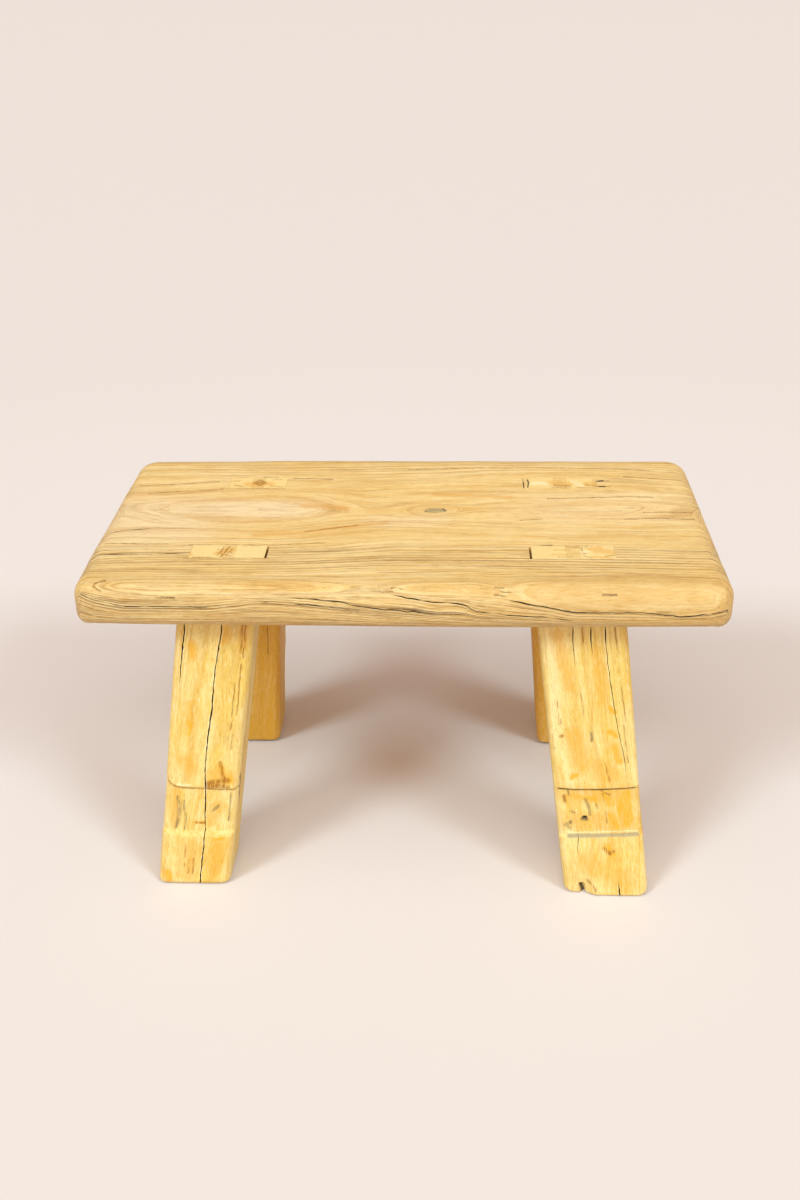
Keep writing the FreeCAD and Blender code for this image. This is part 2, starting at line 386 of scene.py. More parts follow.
# Painted shade on the rolled edge: its strength on the upper and the lower half of the roll, and how much
# less of it the board ends get
UPPER_ROLL_SHADE, LOWER_ROLL_SHADE = 0.52, 0.48
END_SHADE_CUT = 0.75
FRONT_GRIME, ROLL_GRIME, BACK_GRIME = 0.50, 0.42, 0.25
# Knot that bends the growth lines round it, and the eye of the underside, both with their strength in rings
KNOT = (20, 8, 13, 7, 2.3)
UNDERSIDE_EYE = (50, -15, 120, 36, 5)
UNDERSIDE_RING = 8
UNDERSIDE_RING_STEP = 6.5
UNDERSIDE_DRIFT = [(0.3, 13, 50, 14)]
RING_DRIFT = [(0.22, 11, 70, 16), (0.05, 12, 18, 6)]
LEAST_SPAN = 0.3  # between two growth lines
LEAST_STEP = 0.05  # between two grid lines
END_TURN = 10  # past the board's end, until the arcs are whole
SPARSE, CROWDED = 0.09, 0.2  # rings in each millimetre

OVAL_TOP = [
    (-222, 20), (-185, 17), (-172, 15), (-166, 16), (-160, 21), (-150, 25.5), (-135, 29.3), (-108, 31.5),
    (-81, 29.3), (-66, 25.5), (-56, 21), (-50, 16), (-44, 15.5), (-28, 19), (0, 24), (60, 27), (95.6, 28),
    (115, 28.8), (152, 31), (167, 30), (222, 27),
]
OVAL_BOTTOM = [
    (-222, -1), (-185, 3), (-172, 6), (-166, 5), (-160, 0), (-150, -4.5), (-135, -8.3), (-108, -10.5),
    (-81, -8.3), (-66, -4.5), (-56, 0), (-50, 5), (-44, 5.5), (-28, 2), (0, -2), (76, -7), (90, -4.6),
    (144, -4.6), (167, -3), (190, -5.4), (222, -6),
]
OVAL_NUMBER = [
    (-222, 5.2), (-185, 4.8), (-172, 4.15), (-166, 4), (-50, 4), (-44, 4.15), (-28, 4.8), (0, 5), (222, 5),
]
# Growth lines that steer the figure, from the back edge to the front edge: ring number, then the line
FIGURE = [
    (32, 127),
    (15, 93),
    (11, [
        (-222, 76), (-100, 75), (-40, 76), (0, 79), (45, 82), (85, 83), (152, 80.4), (171, 77.4),
        (222, 70),
    ]),
    (8, [
        (-222, 46), (-188.6, 49.3), (-159.7, 53.1), (-133.9, 56.9), (-100, 61.5), (-53.5, 61.5),
        (-20, 60.5), (30, 64), (70, 70), (110, 70), (152, 66), (179, 62), (191, 60), (222, 56),
    ]),
    (6, [
        (-222, 33), (-179.5, 35.6), (-159.7, 39.4), (-129.4, 43.2), (-80, 44), (-40, 43), (0, 45),
        (60, 48), (130, 49), (170, 46), (222, 42),
    ]),
    (OVAL_NUMBER, OVAL_TOP),
    ([
        (-222, 5.1), (-185, 4.7), (-172, 4.1), (-166, 3.8), (-152, 3.1), (-64, 3.1), (-50, 3.8),
        (-44, 4.1), (-28, 4.7), (0, 4.8), (60, 4.3), (150, 4.35), (172, 4.7), (222, 4.9),
    ], [(-222, 10), (-168, 10), (-108, 10.5), (-48, 9), (0, 12), (60, 12), (150, 12), (222, 12)]),
    (OVAL_NUMBER, OVAL_BOTTOM),
    (6, [
        (-222, -29), (-189.8, -26.6), (-181, -23.6), (-172, -21.8), (-161, -20.9), (-128, -20.9),
        (-96, -26), (-76, -24), (-64, -21), (-46, -16), (-12.5, -10), (20, -12), (80, -16), (150, -17),
        (222, -18),
    ]),
    (9, [
        (-222, -46), (-190, -44), (-150, -44), (-100, -42), (-83, -45), (-50, -41.8), (0, -33), (60, -34),
        (120, -38), (222, -40),
    ]),
    (12, [
        (-222, -63), (-190.8, -61.2), (-176.4, -59.3), (-134, -57.8), (-60, -57), (-30, -53), (0, -49),
        (60, -49), (150, -52), (222, -54),
    ]),
    (21, [(-222, -90), (-190, -87), (-100, -86), (-50, -83), (0, -80), (80, -82), (160, -85), (222, -90)]),
    (23, [
        (-222, -101), (-188, -98.5), (-178, -95), (-140, -92.5), (-80, -92.5), (-20, -97.5), (0, -95.5),
        (40, -94), (66, -99.5), (72, -96.5), (85, -95), (120, -94), (180, -95), (200, -99), (222, -103),
    ]),
    ([
        (-222, 23), (-186, 23), (-165, 24.6), (-120, 24.5), (-60, 23.6), (-18, 23), (20, 23.5), (55, 23.4),
        (66, 23), (85, 23.5), (180, 23.5), (205, 23), (222, 23),
    ], [
        (-222, -103), (-188, -100), (-120, -99.5), (-60, -100), (-18, -100), (40, -101), (66, -102.5),
        (120, -103), (180, -104), (222, -106),
    ]),
    (23, SEAT_CRACKS["right"]),
    ([(-222, 20.6), (222, 20)], SEAT_CRACKS["middle"]),
    ([(-222, 19), (222, 18)], SEAT_CRACKS["left"]),
    ([(-222, 16.5), (222, 16)], SEAT_CRACKS["low"]),
    (8, -128),
]


def seat_rings(p, q):
    """Ring number over the seat: straight blends between neighbouring growth lines, with a little drift."""
    rings = np.zeros_like(p)
    lines = [(curve(number, p), curve(line, p)) for number, line in FIGURE]
    for (high_ring, high), (low_ring, low) in zip(lines[:-1], lines[1:]):
        t = np.clip((q - low) / np.maximum(high - low, LEAST_SPAN), 0, 1)
        rings = np.where((q <= high) & (q > low), low_ring * (1 - t) + high_ring * t, rings)
    rings = np.where(q > lines[0][1], lines[0][0], rings)
    rings = np.where(q <= lines[-1][1], lines[-1][0], rings)
    return rings - spot(p, q, KNOT, 2) + uneven(p, q, RING_DRIFT)


def end_grain_rings(p, q, drop):
    """Ring number with arcs over the board ends: past an end, the depth below the top turns q into a radius.

    The rings lie about a pith below the top, so q squared less twice the pith's depth times the drop is
    nearly constant along one ring. Where that is below nought, its root counts down by the ring step.
    """
    past_end = np.maximum(np.abs(p) - CORNER_X, 0) - np.maximum(np.abs(q) - CORNER_Y, 0)
    squared = q ** 2 - 2 * PITH_DEPTH * drop * smooth(0, END_TURN, past_end)
    across = np.sign(q) * np.sqrt(np.maximum(squared, 0))
    return seat_rings(p, across) - np.sqrt(np.maximum(-squared, 0)) / RING_STEP


def ring_crowd(rings, p, q):
    """How crowded the rings lie: a smooth step over the rings in each millimetre of surface."""
    across = np.gradient(rings, axis=1) / np.maximum(np.abs(np.gradient(q, axis=1)), LEAST_STEP)
    along = np.gradient(rings, axis=0) / np.maximum(np.abs(np.gradient(p, axis=0)), LEAST_STEP)
    return smooth(SPARSE, CROWDED, np.hypot(across, along))


# Seat board

P_STOPS = (-SEAM_P, -CORNER_X, -133.4, -84.0, 79.0, 132.4, CORNER_X, SEAM_P)
P_COUNTS = (26, 26, 24, 80, 26, 26, 26)
# Stops that follow the mortise ends: number of the stop, side of the seat, end of the mortise
MORTISE_STOPS = ((2, "left", 1), (3, "left", 0), (4, "right", 0), (5, "right", 1))
FRONT_FAR, FRONT_NEAR = -TENON_Y - MORTISE_HALF, -TENON_Y + MORTISE_HALF
REAR_NEAR, REAR_FAR = TENON_Y - MORTISE_HALF, TENON_Y + MORTISE_HALF
# Lines and cracks across the board, from front to back, with the grid steps after each
Q_RAILS = (
    (-SEAM_Q, 7), ("low", 2), ("left", 2), ("middle", 2), ("right", 26), (FRONT_FAR, 2), ("end_low", 6),
    (FRONT_NEAR, 10), ("end_high", 26), (REAR_NEAR, 7), (REAR_FAR, 10), (CORNER_Y, 18), (SEAM_Q, 0),
)
# Distances from the middle at which the grid starts and stops to follow the mortises
BLEND_Q = 44
BLEND_P = 76
HOLD_Q = 66
FREE_Q = 42
HOLD_P = 140
# Hand planing, calm round the mortises
TOP_WAVES = [(0.35, 31, 70, 40), (0.10, 32, 18, 11)]
UNDERSIDE_WAVES = [(0.3, 33, 60, 30)]
CALM_X, CALM_Y, CALM_REACH = 27, 11, 12
UNDERSIDE_MARK = 500.0  # third mark coordinate below, out of reach of the marks on top


def edge_profile(reach, top):
    """Outward distance, height and lean of the normal at a distance along the rolled edge.

    From the top: level, a quarter round, a plain band, then half of the lower round. From below: level,
    then the other half of the lower round.
    """
    if top:
        turn = np.clip((reach - TOP_FLAT) / TOP_ROUND, 0, math.pi / 2)
        fall = np.clip(reach - TOP_FLAT - TOP_ARC, 0, BAND)
        tuck = np.clip((reach - TOP_FLAT - TOP_ARC - BAND) / BOTTOM_ROUND, 0, math.pi / 4)
        out = np.minimum(reach, TOP_FLAT) + TOP_ROUND * np.sin(turn) - BOTTOM_ROUND * (1 - np.cos(tuck))
        z = SEAT_TOP - TOP_ROUND * (1 - np.cos(turn)) - fall - BOTTOM_ROUND * np.sin(tuck)
        return out, z, turn + tuck
    turn = np.clip((reach - BOTTOM_FLAT) / BOTTOM_ROUND, 0, math.pi / 4)
    out = np.minimum(reach, BOTTOM_FLAT) + BOTTOM_ROUND * np.sin(turn)
    return out, SEAT_UNDERSIDE + BOTTOM_ROUND * (1 - np.cos(turn)), math.pi - turn


def seat_shell(p, q, top):
    """Points and normals of one face of the board from seat coordinates.

    Past the corner centres the larger overshoot is the distance along the rolled edge, and the share of
    the two overshoots turns the direction round the corner. The ends are fuller low on the edge.
    """
    scale = 1.0 if top else BOTTOM_REACH / TOP_REACH
    over_x = np.maximum(np.abs(p) - CORNER_X, 0) * scale
    over_y = np.maximum(np.abs(q) - CORNER_Y, 0) * scale
    reach = np.maximum(over_x, over_y)
    share = np.minimum(over_x, over_y) / np.maximum(reach, 1e-9) * math.pi / 4
    angle = np.where(over_x >= over_y, share, math.pi / 2 - share)
    out, z, lean = edge_profile(reach, top)
    cos_a, sin_a = np.cos(angle), np.sin(angle)
    x = np.sign(p) * (np.minimum(np.abs(p), CORNER_X) + out * cos_a)
    y = np.sign(q) * (np.minimum(np.abs(q), CORNER_Y) + out * sin_a)
    y = y - np.sign(q) * SIDE_BOW * (x / HALF_LENGTH) ** 2 * smooth(BOW_START, HALF_DEPTH, np.abs(y))
    level = np.sin(lean) * (reach > 0)
    normal = np.stack([np.sign(p) * cos_a * level, np.sign(q) * sin_a * level, np.cos(lean)], -1)
    low_on_edge = np.exp(-((lean - FULL_LEAN) / FULL_SPREAD) ** 2)
    full = END_FULLNESS * low_on_edge * smooth(0.2, 0.8, cos_a) * (over_x > 0)
    return np.stack([x, y, z], -1) + normal * full[..., None], normal


def crack_half_width(key, p_line):
    """Half width of a crack along the board, wavering a little."""
    return curve(CRACK_WIDTH[key], p_line) * (1 + CRACK_WAVER * waver(p_line, 23, 5))


def crack_rails(key, p_line):
    """Five rails across a crack at every station along the board."""
    width = curve(CRACK_WIDTH[key], p_line)
    wander = uneven(p_line, 0 * p_line, CRACK_WANDER) * np.minimum(width * 3, 1)
    middle = curve(SEAT_CRACKS[key], p_line) + wander
    half_width = np.maximum(crack_half_width(key, p_line), LEAST_HALF_WIDTH)
    return [middle + offset * half_width for offset in CRACK_SHAPE]


def blend(first, last, s, half):
    """Straight blend from the first value at minus half to the last at plus half."""
    return first + (last - first) * np.clip((s + half) / (2 * half), 0, 1)


def seat_places(z, p_line, q_line, q_top):
    """Seat coordinates of the grid for the face at height z, bent so that grid lines follow the mortises."""
    ends = {name: leg.mortise_span(z) for name, leg in LEGS.items()}
    sides = {name: leg.centre(z)[1] for name, leg in LEGS.items()}
    near = window(q_line, -CORNER_Y, -HOLD_Q, HOLD_Q, CORNER_Y)
    p_rails = list(P_STOPS)
    for k, side, end in MORTISE_STOPS:
        rail = blend(ends["front_" + side][end], ends["rear_" + side][end], q_line, BLEND_Q)
        p_rails[k] = P_STOPS[k] + (rail - P_STOPS[k]) * near
    p = rail_lines(p_rails, P_COUNTS)[0].T
    front_shift = blend(sides["front_left"], sides["front_right"], p_line, BLEND_P) + TENON_Y
    rear_shift = blend(sides["rear_left"], sides["rear_right"], p_line, BLEND_P) - TENON_Y
    hold = window(p_line, -CORNER_X, -HOLD_P, HOLD_P, CORNER_X)
    front = window(q_line, -CORNER_Y, -HOLD_Q, -FREE_Q, 0)
    rear = window(q_line, 0, FREE_Q, HOLD_Q, CORNER_Y)
    return p, q_top + hold[:, None] * (front_shift[:, None] * front + rear_shift[:, None] * rear)


def seat_wear(p, q):
    """Grime, edge tone (painted shade) and faded share over the top, from distances to cracks, edges and
    spots.
    """
    grime = np.zeros_like(p)
    for key, (start, end) in GREYED.items():
        along = window(p, start - GREY_FADE, start + GREY_FADE, end - GREY_FADE, end + GREY_FADE)
        away = (q - curve(SEAT_CRACKS[key], p) - GREY_OFFSET) / GREY_REACH
        grime = np.maximum(grime, along * np.exp(-(away ** 2)))
    for place in GRIME_SPOTS:
        grime = np.maximum(grime, spot(p, q, place, 2))
    over_x, over_y = np.abs(p) - CORNER_X, np.abs(q) - CORNER_Y
    over = np.maximum(over_x, over_y)
    at_end = smooth(0, 6, over_x - over_y) * (1 - smooth(14, 30, over))
    # The edge tone is painted shade, laid over the roll, strongest low on it and lighter at the board ends
    edge = UPPER_ROLL_SHADE * smooth(-6, 9, over) + LOWER_ROLL_SHADE * smooth(14, 36, over)
    edge = edge * (1 - END_SHADE_CUT * at_end)
    along_front = FRONT_GRIME * smooth(-38, -54, q) * (1 - 0.5 * smooth(80, 92, -q))
    grime = np.maximum(grime, along_front + ROLL_GRIME * smooth(2, 16, over))
    grime = np.maximum(grime, BACK_GRIME * smooth(58, 72, q))
    # In these stretches the grime gives way to more painted shade
    for place in DEEP_SHADE_SPOTS:
        deeper_shade = spot(p, q, place, 4)
        grime = grime * (1 - deeper_shade)
        edge = edge + DEEP_SHADE_STRENGTH * deeper_shade
    faded = np.max([spot(p, q, place, 4) for place in FADED_SPOTS], axis=0)
    return grime, edge, faded


def pierced_faces(shape, holes):
    """Quads of a top and an underside grid that share their rim, with walls through rectangular holes.

    The underside's own points are numbered after those of the top.
    """
    columns, lines = shape
    number = np.arange(columns * lines).reshape(shape)
    below = number.copy()
    inside = np.arange((columns - 2) * (lines - 2)).reshape(columns - 2, lines - 2)
    below[1:-1, 1:-1] = inside + columns * lines
    solid = np.ones((columns - 1, lines - 1), bool)
    walls = []
    for (i0, i1), (j0, j1) in holes:
        solid[i0:i1, j0:j1] = False
        i, j = box_ring(np.arange(i0, i1 + 1), np.arange(j0, j1 + 1))
        upper, lower = number[i, j], below[i, j]
        walls.append(np.stack([upper, np.roll(upper, -1), np.roll(lower, -1), lower], -1))
    keep = solid.ravel()
    return np.concatenate([quads(number)[keep], quads(below)[keep][:, ::-1]] + walls)


def joined(upper, lower):
    """Values of the top grid, then those of the underside grid without its rim, which both share."""
    lower = np.broadcast_to(lower, upper.shape)[1:-1, 1:-1]
    rest = upper.shape[2:]
    return np.concatenate([upper.reshape(-1, *rest), lower.reshape(-1, *rest)])


def build_seat(material):
    """Board as two grids over seat coordinates, welded round the lower edge and pierced by four mortises."""
    p_line = rail_lines(P_STOPS, P_COUNTS)[0]
    rails, counts, starts = [], [], {}
    for rail, count in Q_RAILS:
        starts[rail] = len(rails)
        if rail in SEAT_CRACKS:
            rails += crack_rails(rail, p_line)
            counts += [1] * (len(CRACK_SHAPE) - 1)
        else:
            rails.append(rail + 0 * p_line)
        counts.append(count)
    q_top, q_index = rail_lines(rails, counts)
    q_line = q_top[len(p_line) // 2]

    p, q = seat_places(SEAT_TOP, p_line, q_line, q_top)
    top, normal = seat_shell(p, q, True)
    crack = np.zeros_like(p)
    for key in SEAT_CRACKS:
        start = starts[key]
        broken = np.clip(0.85 + 0.6 * drift(p_line, 0 * p_line + start, 24, 7, 1), 0.3, 1)
        widths = np.maximum(crack_half_width(key, p_line), 0) * broken
        for k, share in SEAT_CRACK_SHARES:
            line = q_index[start + k]
            top[:, line] -= normal[:, line] * (CRACK_DEPTH * widths * share)[:, None]
            crack[:, line] = smooth(0.03, 0.28, widths) * (0.55 + 0.45 * share)
    beside_x = np.maximum(np.abs(np.abs(p) - TENON_X) - CALM_X, 0)
    beside_y = np.maximum(np.abs(np.abs(q) - TENON_Y) - CALM_Y, 0)
    calm = np.minimum(np.hypot(beside_x, beside_y) / CALM_REACH, 1)
    top += normal * (uneven(p, q, TOP_WAVES) * calm)[..., None]

    under_p, under_q = seat_places(SEAT_UNDERSIDE, p_line, q_line, q_top)
    bottom, under_normal = seat_shell(under_p, under_q, False)
    bottom += under_normal * (uneven(under_p, under_q, UNDERSIDE_WAVES) * calm)[..., None]

    cut = np.cumsum([0, *P_COUNTS])
    columns = [(cut[2], cut[3]), (cut[4], cut[5])]
    pairs = ((FRONT_FAR, FRONT_NEAR), (REAR_NEAR, REAR_FAR))
    rows = [[q_index[starts[rail]] for rail in pair] for pair in pairs]
    faces = pierced_faces(p.shape, [(column, row) for column in columns for row in rows])

    rings = end_grain_rings(p, q, SEAT_TOP - top[..., 2])
    under_rings = UNDERSIDE_RING + under_q / UNDERSIDE_RING_STEP + spot(under_p, under_q, UNDERSIDE_EYE, 2)
    under_rings += uneven(under_p, under_q, UNDERSIDE_DRIFT)
    grime, edge, faded = seat_wear(p, q)
    under_mark = np.stack([under_p, under_q, 0 * under_p + UNDERSIDE_MARK], -1)
    # The underside takes the full edge tone: painted shade over all of it
    fields = dict(
        mark=(np.stack([p, q, 0 * p], -1), under_mark), ring=(rings, under_rings), crack=(crack, 0.0),
        grime=(grime, 0.0), edge=(edge, 1.0), faded=(faded, 0.0), crowd=(ring_crowd(rings, p, q), 1.0))
    used = np.unique(faces)
    points = joined(top, bottom)[used]
    make_piece("seat", points, np.searchsorted(used, faces), "seat_board", "seat_wood", material,
               grain=points.copy(), **{key: joined(*pair)[used] for key, pair in fields.items()})


# Legs, in places across the leg and above the floor

LEG_HALF_THICKNESS = 20.0
ARC_STEPS = 3
SIDE_STEPS = 18
FOOT_STEPS = 5
EDGE_RADIUS, EDGE_WAVER = 4.6, 0.9
FACE_GAPS = (22, 22, 18, 18)
# Drying cracks of each leg: middle line, then half width
LEG_CRACKS = {
    "front_left": [
        ([(0, -19.2), (140, -19.5), (156, -19.5), (170, -19.2), (200, -18.8)], [
            (0, 0), (138, 0), (156, 0.28), (175, 0.5), (200, 0.55),
        ]),
        ([
            (0, 4.3), (12, 4.2), (28, 4.4), (43, 4.6), (46, 4.1), (60, 3.2), (75, 2.7), (92, 1.4),
            (112, 1.5), (121, 1.8), (133, 2.6), (150, 2.4), (162, 2.8), (172, 3.6), (190, 4.7), (200, 5),
        ], [
            (0, 0.75), (8, 0.4), (20, 0.62), (30, 0.5), (40, 0.28), (60, 0.42), (80, 0.45), (100, 0.36),
            (121, 0.62), (135, 0.5), (160, 0.36), (180, 0.48), (200, 0.6),
        ]),
        ([(0, 18), (140, 18.7), (170, 18.9), (184, 18.9), (200, 17.4)], 0),
    ],
    "front_right": [
        ([
            (0, -16.2), (8, -16), (30, -16.4), (41, -15.4), (80, -11.6), (160, -6.5), (170, -7.1),
            (190, -6.6), (200, -6.6),
        ], [(0, 0), (24, 0), (34, 0.2), (40, 0.26), (46, 0), (160, 0), (176, 0.24), (200, 0.36)]),
        ([(0, 9.2), (6, 8.7), (12, 8.9), (60, 7.4), (170, 4.6), (180, 4.4), (200, 4.8)], [
            (0, 0.5), (8, 0.3), (16, 0), (168, 0), (178, 0.3), (200, 0.4),
        ]),
        ([
            (0, 18.8), (72, 19.6), (100, 19.2), (110, 17.9), (120, 16.7), (130, 15.9), (150, 14.4),
            (170, 13.4), (200, 13.7),
        ], [(0, 0), (80, 0), (98, 0.2), (120, 0.2), (145, 0.26), (170, 0.2), (186, 0.36), (200, 0.4)]),
    ],
    "rear_left": [
        ([(0, -6), (100, -4), (200, -5)], [(0, 0.2), (60, 0.2), (90, 0), (200, 0)]),
        ([(0, 9), (100, 10), (200, 11)], [(0, 0), (120, 0), (180, 0.25), (200, 0.3)]),
        ([(0, 14), (100, 15), (200, 15.5)], 0),
    ],
    "rear_right": [
        ([(0, -14), (100, -13), (200, -14)], [(0, 0), (130, 0), (190, 0.22), (200, 0.3)]),
        ([(0, 3), (100, 2), (200, 4)], [(0, 0.3), (50, 0.2), (70, 0), (200, 0)]),
        ([(0, 14), (100, 15), (200, 15.5)], 0),
    ],
}
LEG_CRACK_DEPTH = 3.0
LEG_CRACK_SHARES = ((1, 0.6), (2, 1.0), (3, 0.6))
LEAST_LEG_HALF_WIDTH = 0.16
LEG_CRACK_WAVER = 0.4
FLAT_MARGIN = 0.4
LEG_CRACK_WANDER = [(0.22, 51, 5, 9), (0.17, 52, 2.0, 9)]
LEG_WAVES = [(0.28, 61, 38, 30), (0.12, 62, 13, 12)]
LEG_RING_STEP = 3.1
# Pith of each leg: place across, place in depth, lean across
LEG_PITH = {
    "front_left": (9.0, 34.0, 0.04), "front_right": (-22.0, 30.0, -0.05),
    "rear_left": (30.0, 22.0, 0.03), "rear_right": (-12.0, 44.0, 0.05),
}
# Upper and lower line of each housing, then its depths below the one and above the other
SHOULDER = {
    "front_left": [
        (-24.6, 82), (-22.1, 80), (-20.6, 77.6), (-17.6, 75.9), (-11.6, 74.9), (2.4, 74.4), (12.4, 73.9),
        (20.4, 73.8), (29.4, 74.6),
    ],
    "front_right": [
        (-30.6, 78.7), (-24.6, 78.7), (-13.6, 78.2), (-1.6, 78.3), (8.4, 78.7), (18.4, 79.2), (27.4, 80.2),
    ],
    "rear_left": [(-25, 76), (0, 75.4), (25, 76)],
    "rear_right": [(-27, 76), (0, 76.4), (27, 75.6)],
}
LEDGE = {
    "front_left": [(-24.6, 41), (-11.6, 39.6), (2.4, 39.2), (16.4, 39.4), (29.4, 40)],
    "front_right": [(-30.6, 42), (-21.6, 42.6), (-1.6, 42.8), (13.4, 43.5), (27.4, 45)],
    "rear_left": [(-25, 40), (25, 40.5)],
    "rear_right": [(-27, 40), (27, 39.6)],
}
HOUSING = {
    "front_left": (1.5, 2.6),
    "front_right": (1.8, 2.2),
    "rear_left": (2.0, 2.6),
    "rear_right": (2.0, 2.6),
}
LEDGE_SOFTNESS = {"front_left": 1.6, "front_right": 0.7, "rear_left": 0.7, "rear_right": 0.7}
FOOT_ROUND = {"front_left": 4.2, "front_right": 2.6, "rear_left": 4.0, "rear_right": 4.0}
TENON_HEIGHTS = np.array([200.0, 200.8, 206.0, 214.0, 222.0, 228.2, 229.0])
TENON_START = 200.5
# Marks on a leg's front lie beyond this share of its half thickness, those on its side within this depth
FRONT_SHARE = 0.35
SIDE_DEPTH = 2.5
TIP_START, TIP_FULL = 226, 228.5
# Wear of the front right foot
SWELL = 3.2
CHIP_DEPTH, CHIP_AT, CHIP_HALF = 3.2, -15.6, 1.7
HOLE_DEPTH, HOLE_AT, HOLE_HEIGHT, HOLE_HALF = 2.2, -9.6, 55.8, 1.25
WORN_LENGTH = 9
WORN_RIGHT, WORN_LEFT = 4.6, 2.6

# Stains, and the painted shadow lines and painted highlights drawn with the same strokes: how much they
# cover, whether worn wood breaks them, and how far their strokes shake on the legs
STAINS_AND_PAINTED_LIGHT = {
    "orange": (0.42, False, 1.6), "amber": (0.76, True, 0.8), "brown": (0.85, True, 0.35),
    "bleach": (0.55, False, 0.7), "grey": (0.75, True, 0.3), "dust": (0.75, False, 0.0),
    "black": (0.94, False, 0.2),
}
TIP_SHAKE = 0.6
# Seeds of the shaken strokes on fronts, tenon ends and sides
FRONT_SEED, TIP_SEED, SIDE_SEED = 81, 83, 85
# Grid steps of a block along its front and its side, and its ring step
BLOCK_FRONT, BLOCK_SIDE = 18, 30
BLOCK_RING_STEP = 2.6


def rounded_side(half_length, half_across, radius, face):
    """One side of a rounded rectangle, from the middle of one corner to the middle of the next.

    face holds positions along the flat part; returns distance along the side and outwards.
    """
    turn = np.linspace(math.pi / 4, 0, ARC_STEPS + 1)[:-1]
    radius = radius[:, None]
    start_along = radius - half_length - radius * np.sin(turn)
    start_out = half_across - radius + radius * np.cos(turn)
    along = np.concatenate([start_along, face, -start_along[:, ::-1]], -1)
    out = np.concatenate([start_out, np.broadcast_to(half_across, face.shape), start_out[:, ::-1]], -1)
    return along, out


def coons(front, right, back, left):
    """Grid that fills four boundary curves: the two straight blends less the blend of the corners.

    front and back run the same way, and so do left and right.
    """
    s = np.linspace(0, 1, len(front))[:, None, None]
    t = np.linspace(0, 1, len(left))[None, :, None]
    across = front[:, None] * (1 - t) + back[:, None] * t
    along = left[None] * (1 - s) + right[None] * s
    near = front[0] * (1 - s) + front[-1] * s
    far = back[0] * (1 - s) + back[-1] * s
    return across + along - near * (1 - t) - far * t


def closed_tube(loops, n_front, n_side):
    """Points and quads of a tube of loops with four sides, closed at both ends by Coons grids."""
    rows, around = loops.shape[:2]
    number = np.arange(rows * around).reshape(rows, around)
    wrapped = np.concatenate([number, number[:, :1]], 1)
    faces = [quads(wrapped.T)]
    points = [loops.reshape(-1, 3)]
    total = rows * around
    a, b, c = n_front, n_front + n_side, 2 * n_front + n_side
    for row, flip in ((0, True), (rows - 1, False)):
        ring = wrapped[row]
        front, right, back, left = ring[:a + 1], ring[a:b + 1], ring[b:c + 1][::-1], ring[c:][::-1]
        patch = coons(*[points[0][side] for side in (front, right, back, left)])
        index = np.zeros((n_front + 1, n_side + 1), int)
        index[:, 0] = front
        index[:, -1] = back
        index[0] = left
        index[-1] = right
        inner = (n_front - 1) * (n_side - 1)
        index[1:-1, 1:-1] = np.arange(inner).reshape(n_front - 1, n_side - 1) + total
        points.append(patch[1:-1, 1:-1].reshape(-1, 3))
        cap = quads(index)
        faces.append(cap[:, ::-1] if flip else cap)
        total += inner
    return np.concatenate(points), np.concatenate(faces)


def leg_rows(name, across):
    """Heights of all rows of a leg's body at each place across it, and the housing's depth in each row."""
    ledge = curve(LEDGE[name], across)
    shoulder = curve(SHOULDER[name], across)
    top_depth, low_depth = HOUSING[name]
    soft = LEDGE_SOFTNESS[name]
    # Each row: height, depth of the housing there, rows up to the next
    stops = [
        (FOOT_ROUND[name], 0, 44), (ledge - soft, 0, 2), (ledge - 0.3 * soft, 0.15 * low_depth, 2),
        (ledge + 0.35 * soft, 0.8 * low_depth, 2), (ledge + 1.2 * soft, low_depth, 48),
        (shoulder - 1.6, top_depth + 0.2, 2), (shoulder - 0.5, top_depth + 0.1, 1),
        (shoulder - 0.25, top_depth, 1), (shoulder + 0.25, 0.2, 2), (shoulder + 0.9, 0, 150),
        (SEAT_UNDERSIDE - 1, 0, 1), (SEAT_UNDERSIDE, 0, 0)]
    heights, depths, counts = zip(*stops)
    return rail_lines(heights, counts)[0].T, rail_lines(depths, counts)[0][:, None]


def crack_numbers(face_index, k):
    """Numbers, round the leg, of the five lines that make its crack k."""
    return [ARC_STEPS + face_index[1 + len(CRACK_SHAPE) * k + i] for i in range(len(CRACK_SHAPE))]


def leg_section(leg, rows):
    """Rounded rectangles of a leg at all rows, with five lines of points along each crack of its front.

    Returns the places across and in depth, the index of the crack lines, and the points on front and side.
    """
    seed = len(leg.name)
    half_width = leg.width / 2
    radius = EDGE_RADIUS + EDGE_WAVER * waver(rows, 41 + seed, 45)
    flat = half_width - radius
    rails, counts = [-flat], [FACE_GAPS[0]]
    wander = uneven(rows, 0 * rows, LEG_CRACK_WANDER, seed)
    for (middle, width), gap in zip(LEG_CRACKS[leg.name], FACE_GAPS[1:]):
        opening = np.maximum(curve(width, rows), LEAST_LEG_HALF_WIDTH)
        opening = opening * (1 + LEG_CRACK_WAVER * waver(rows, 53 + seed, 2.6))
        centre = curve(middle, rows) + wander
        rails += [np.clip(centre + s * opening, FLAT_MARGIN - flat, flat - FLAT_MARGIN) for s in CRACK_SHAPE]
        counts += [1] * (len(CRACK_SHAPE) - 1) + [gap]
    face, face_index = rail_lines(rails + [flat], counts)
    back = flat[:, None] * np.linspace(-1, 1, face.shape[1])
    side = (LEG_HALF_THICKNESS - radius)[:, None] * np.linspace(-1, 1, SIDE_STEPS + 1)
    front_along, front_out = rounded_side(half_width, LEG_HALF_THICKNESS, radius, face)
    side_along, side_out = rounded_side(LEG_HALF_THICKNESS, half_width, radius, side)
    back_along, back_out = rounded_side(half_width, LEG_HALF_THICKNESS, radius, back)
    a = ring_of(front_along, side_out, -back_along, -side_out)
    b = ring_of(-front_out, side_along, back_out, -side_along)
    return a, b, face_index, front_along.shape[1] - 1, side_along.shape[1] - 1


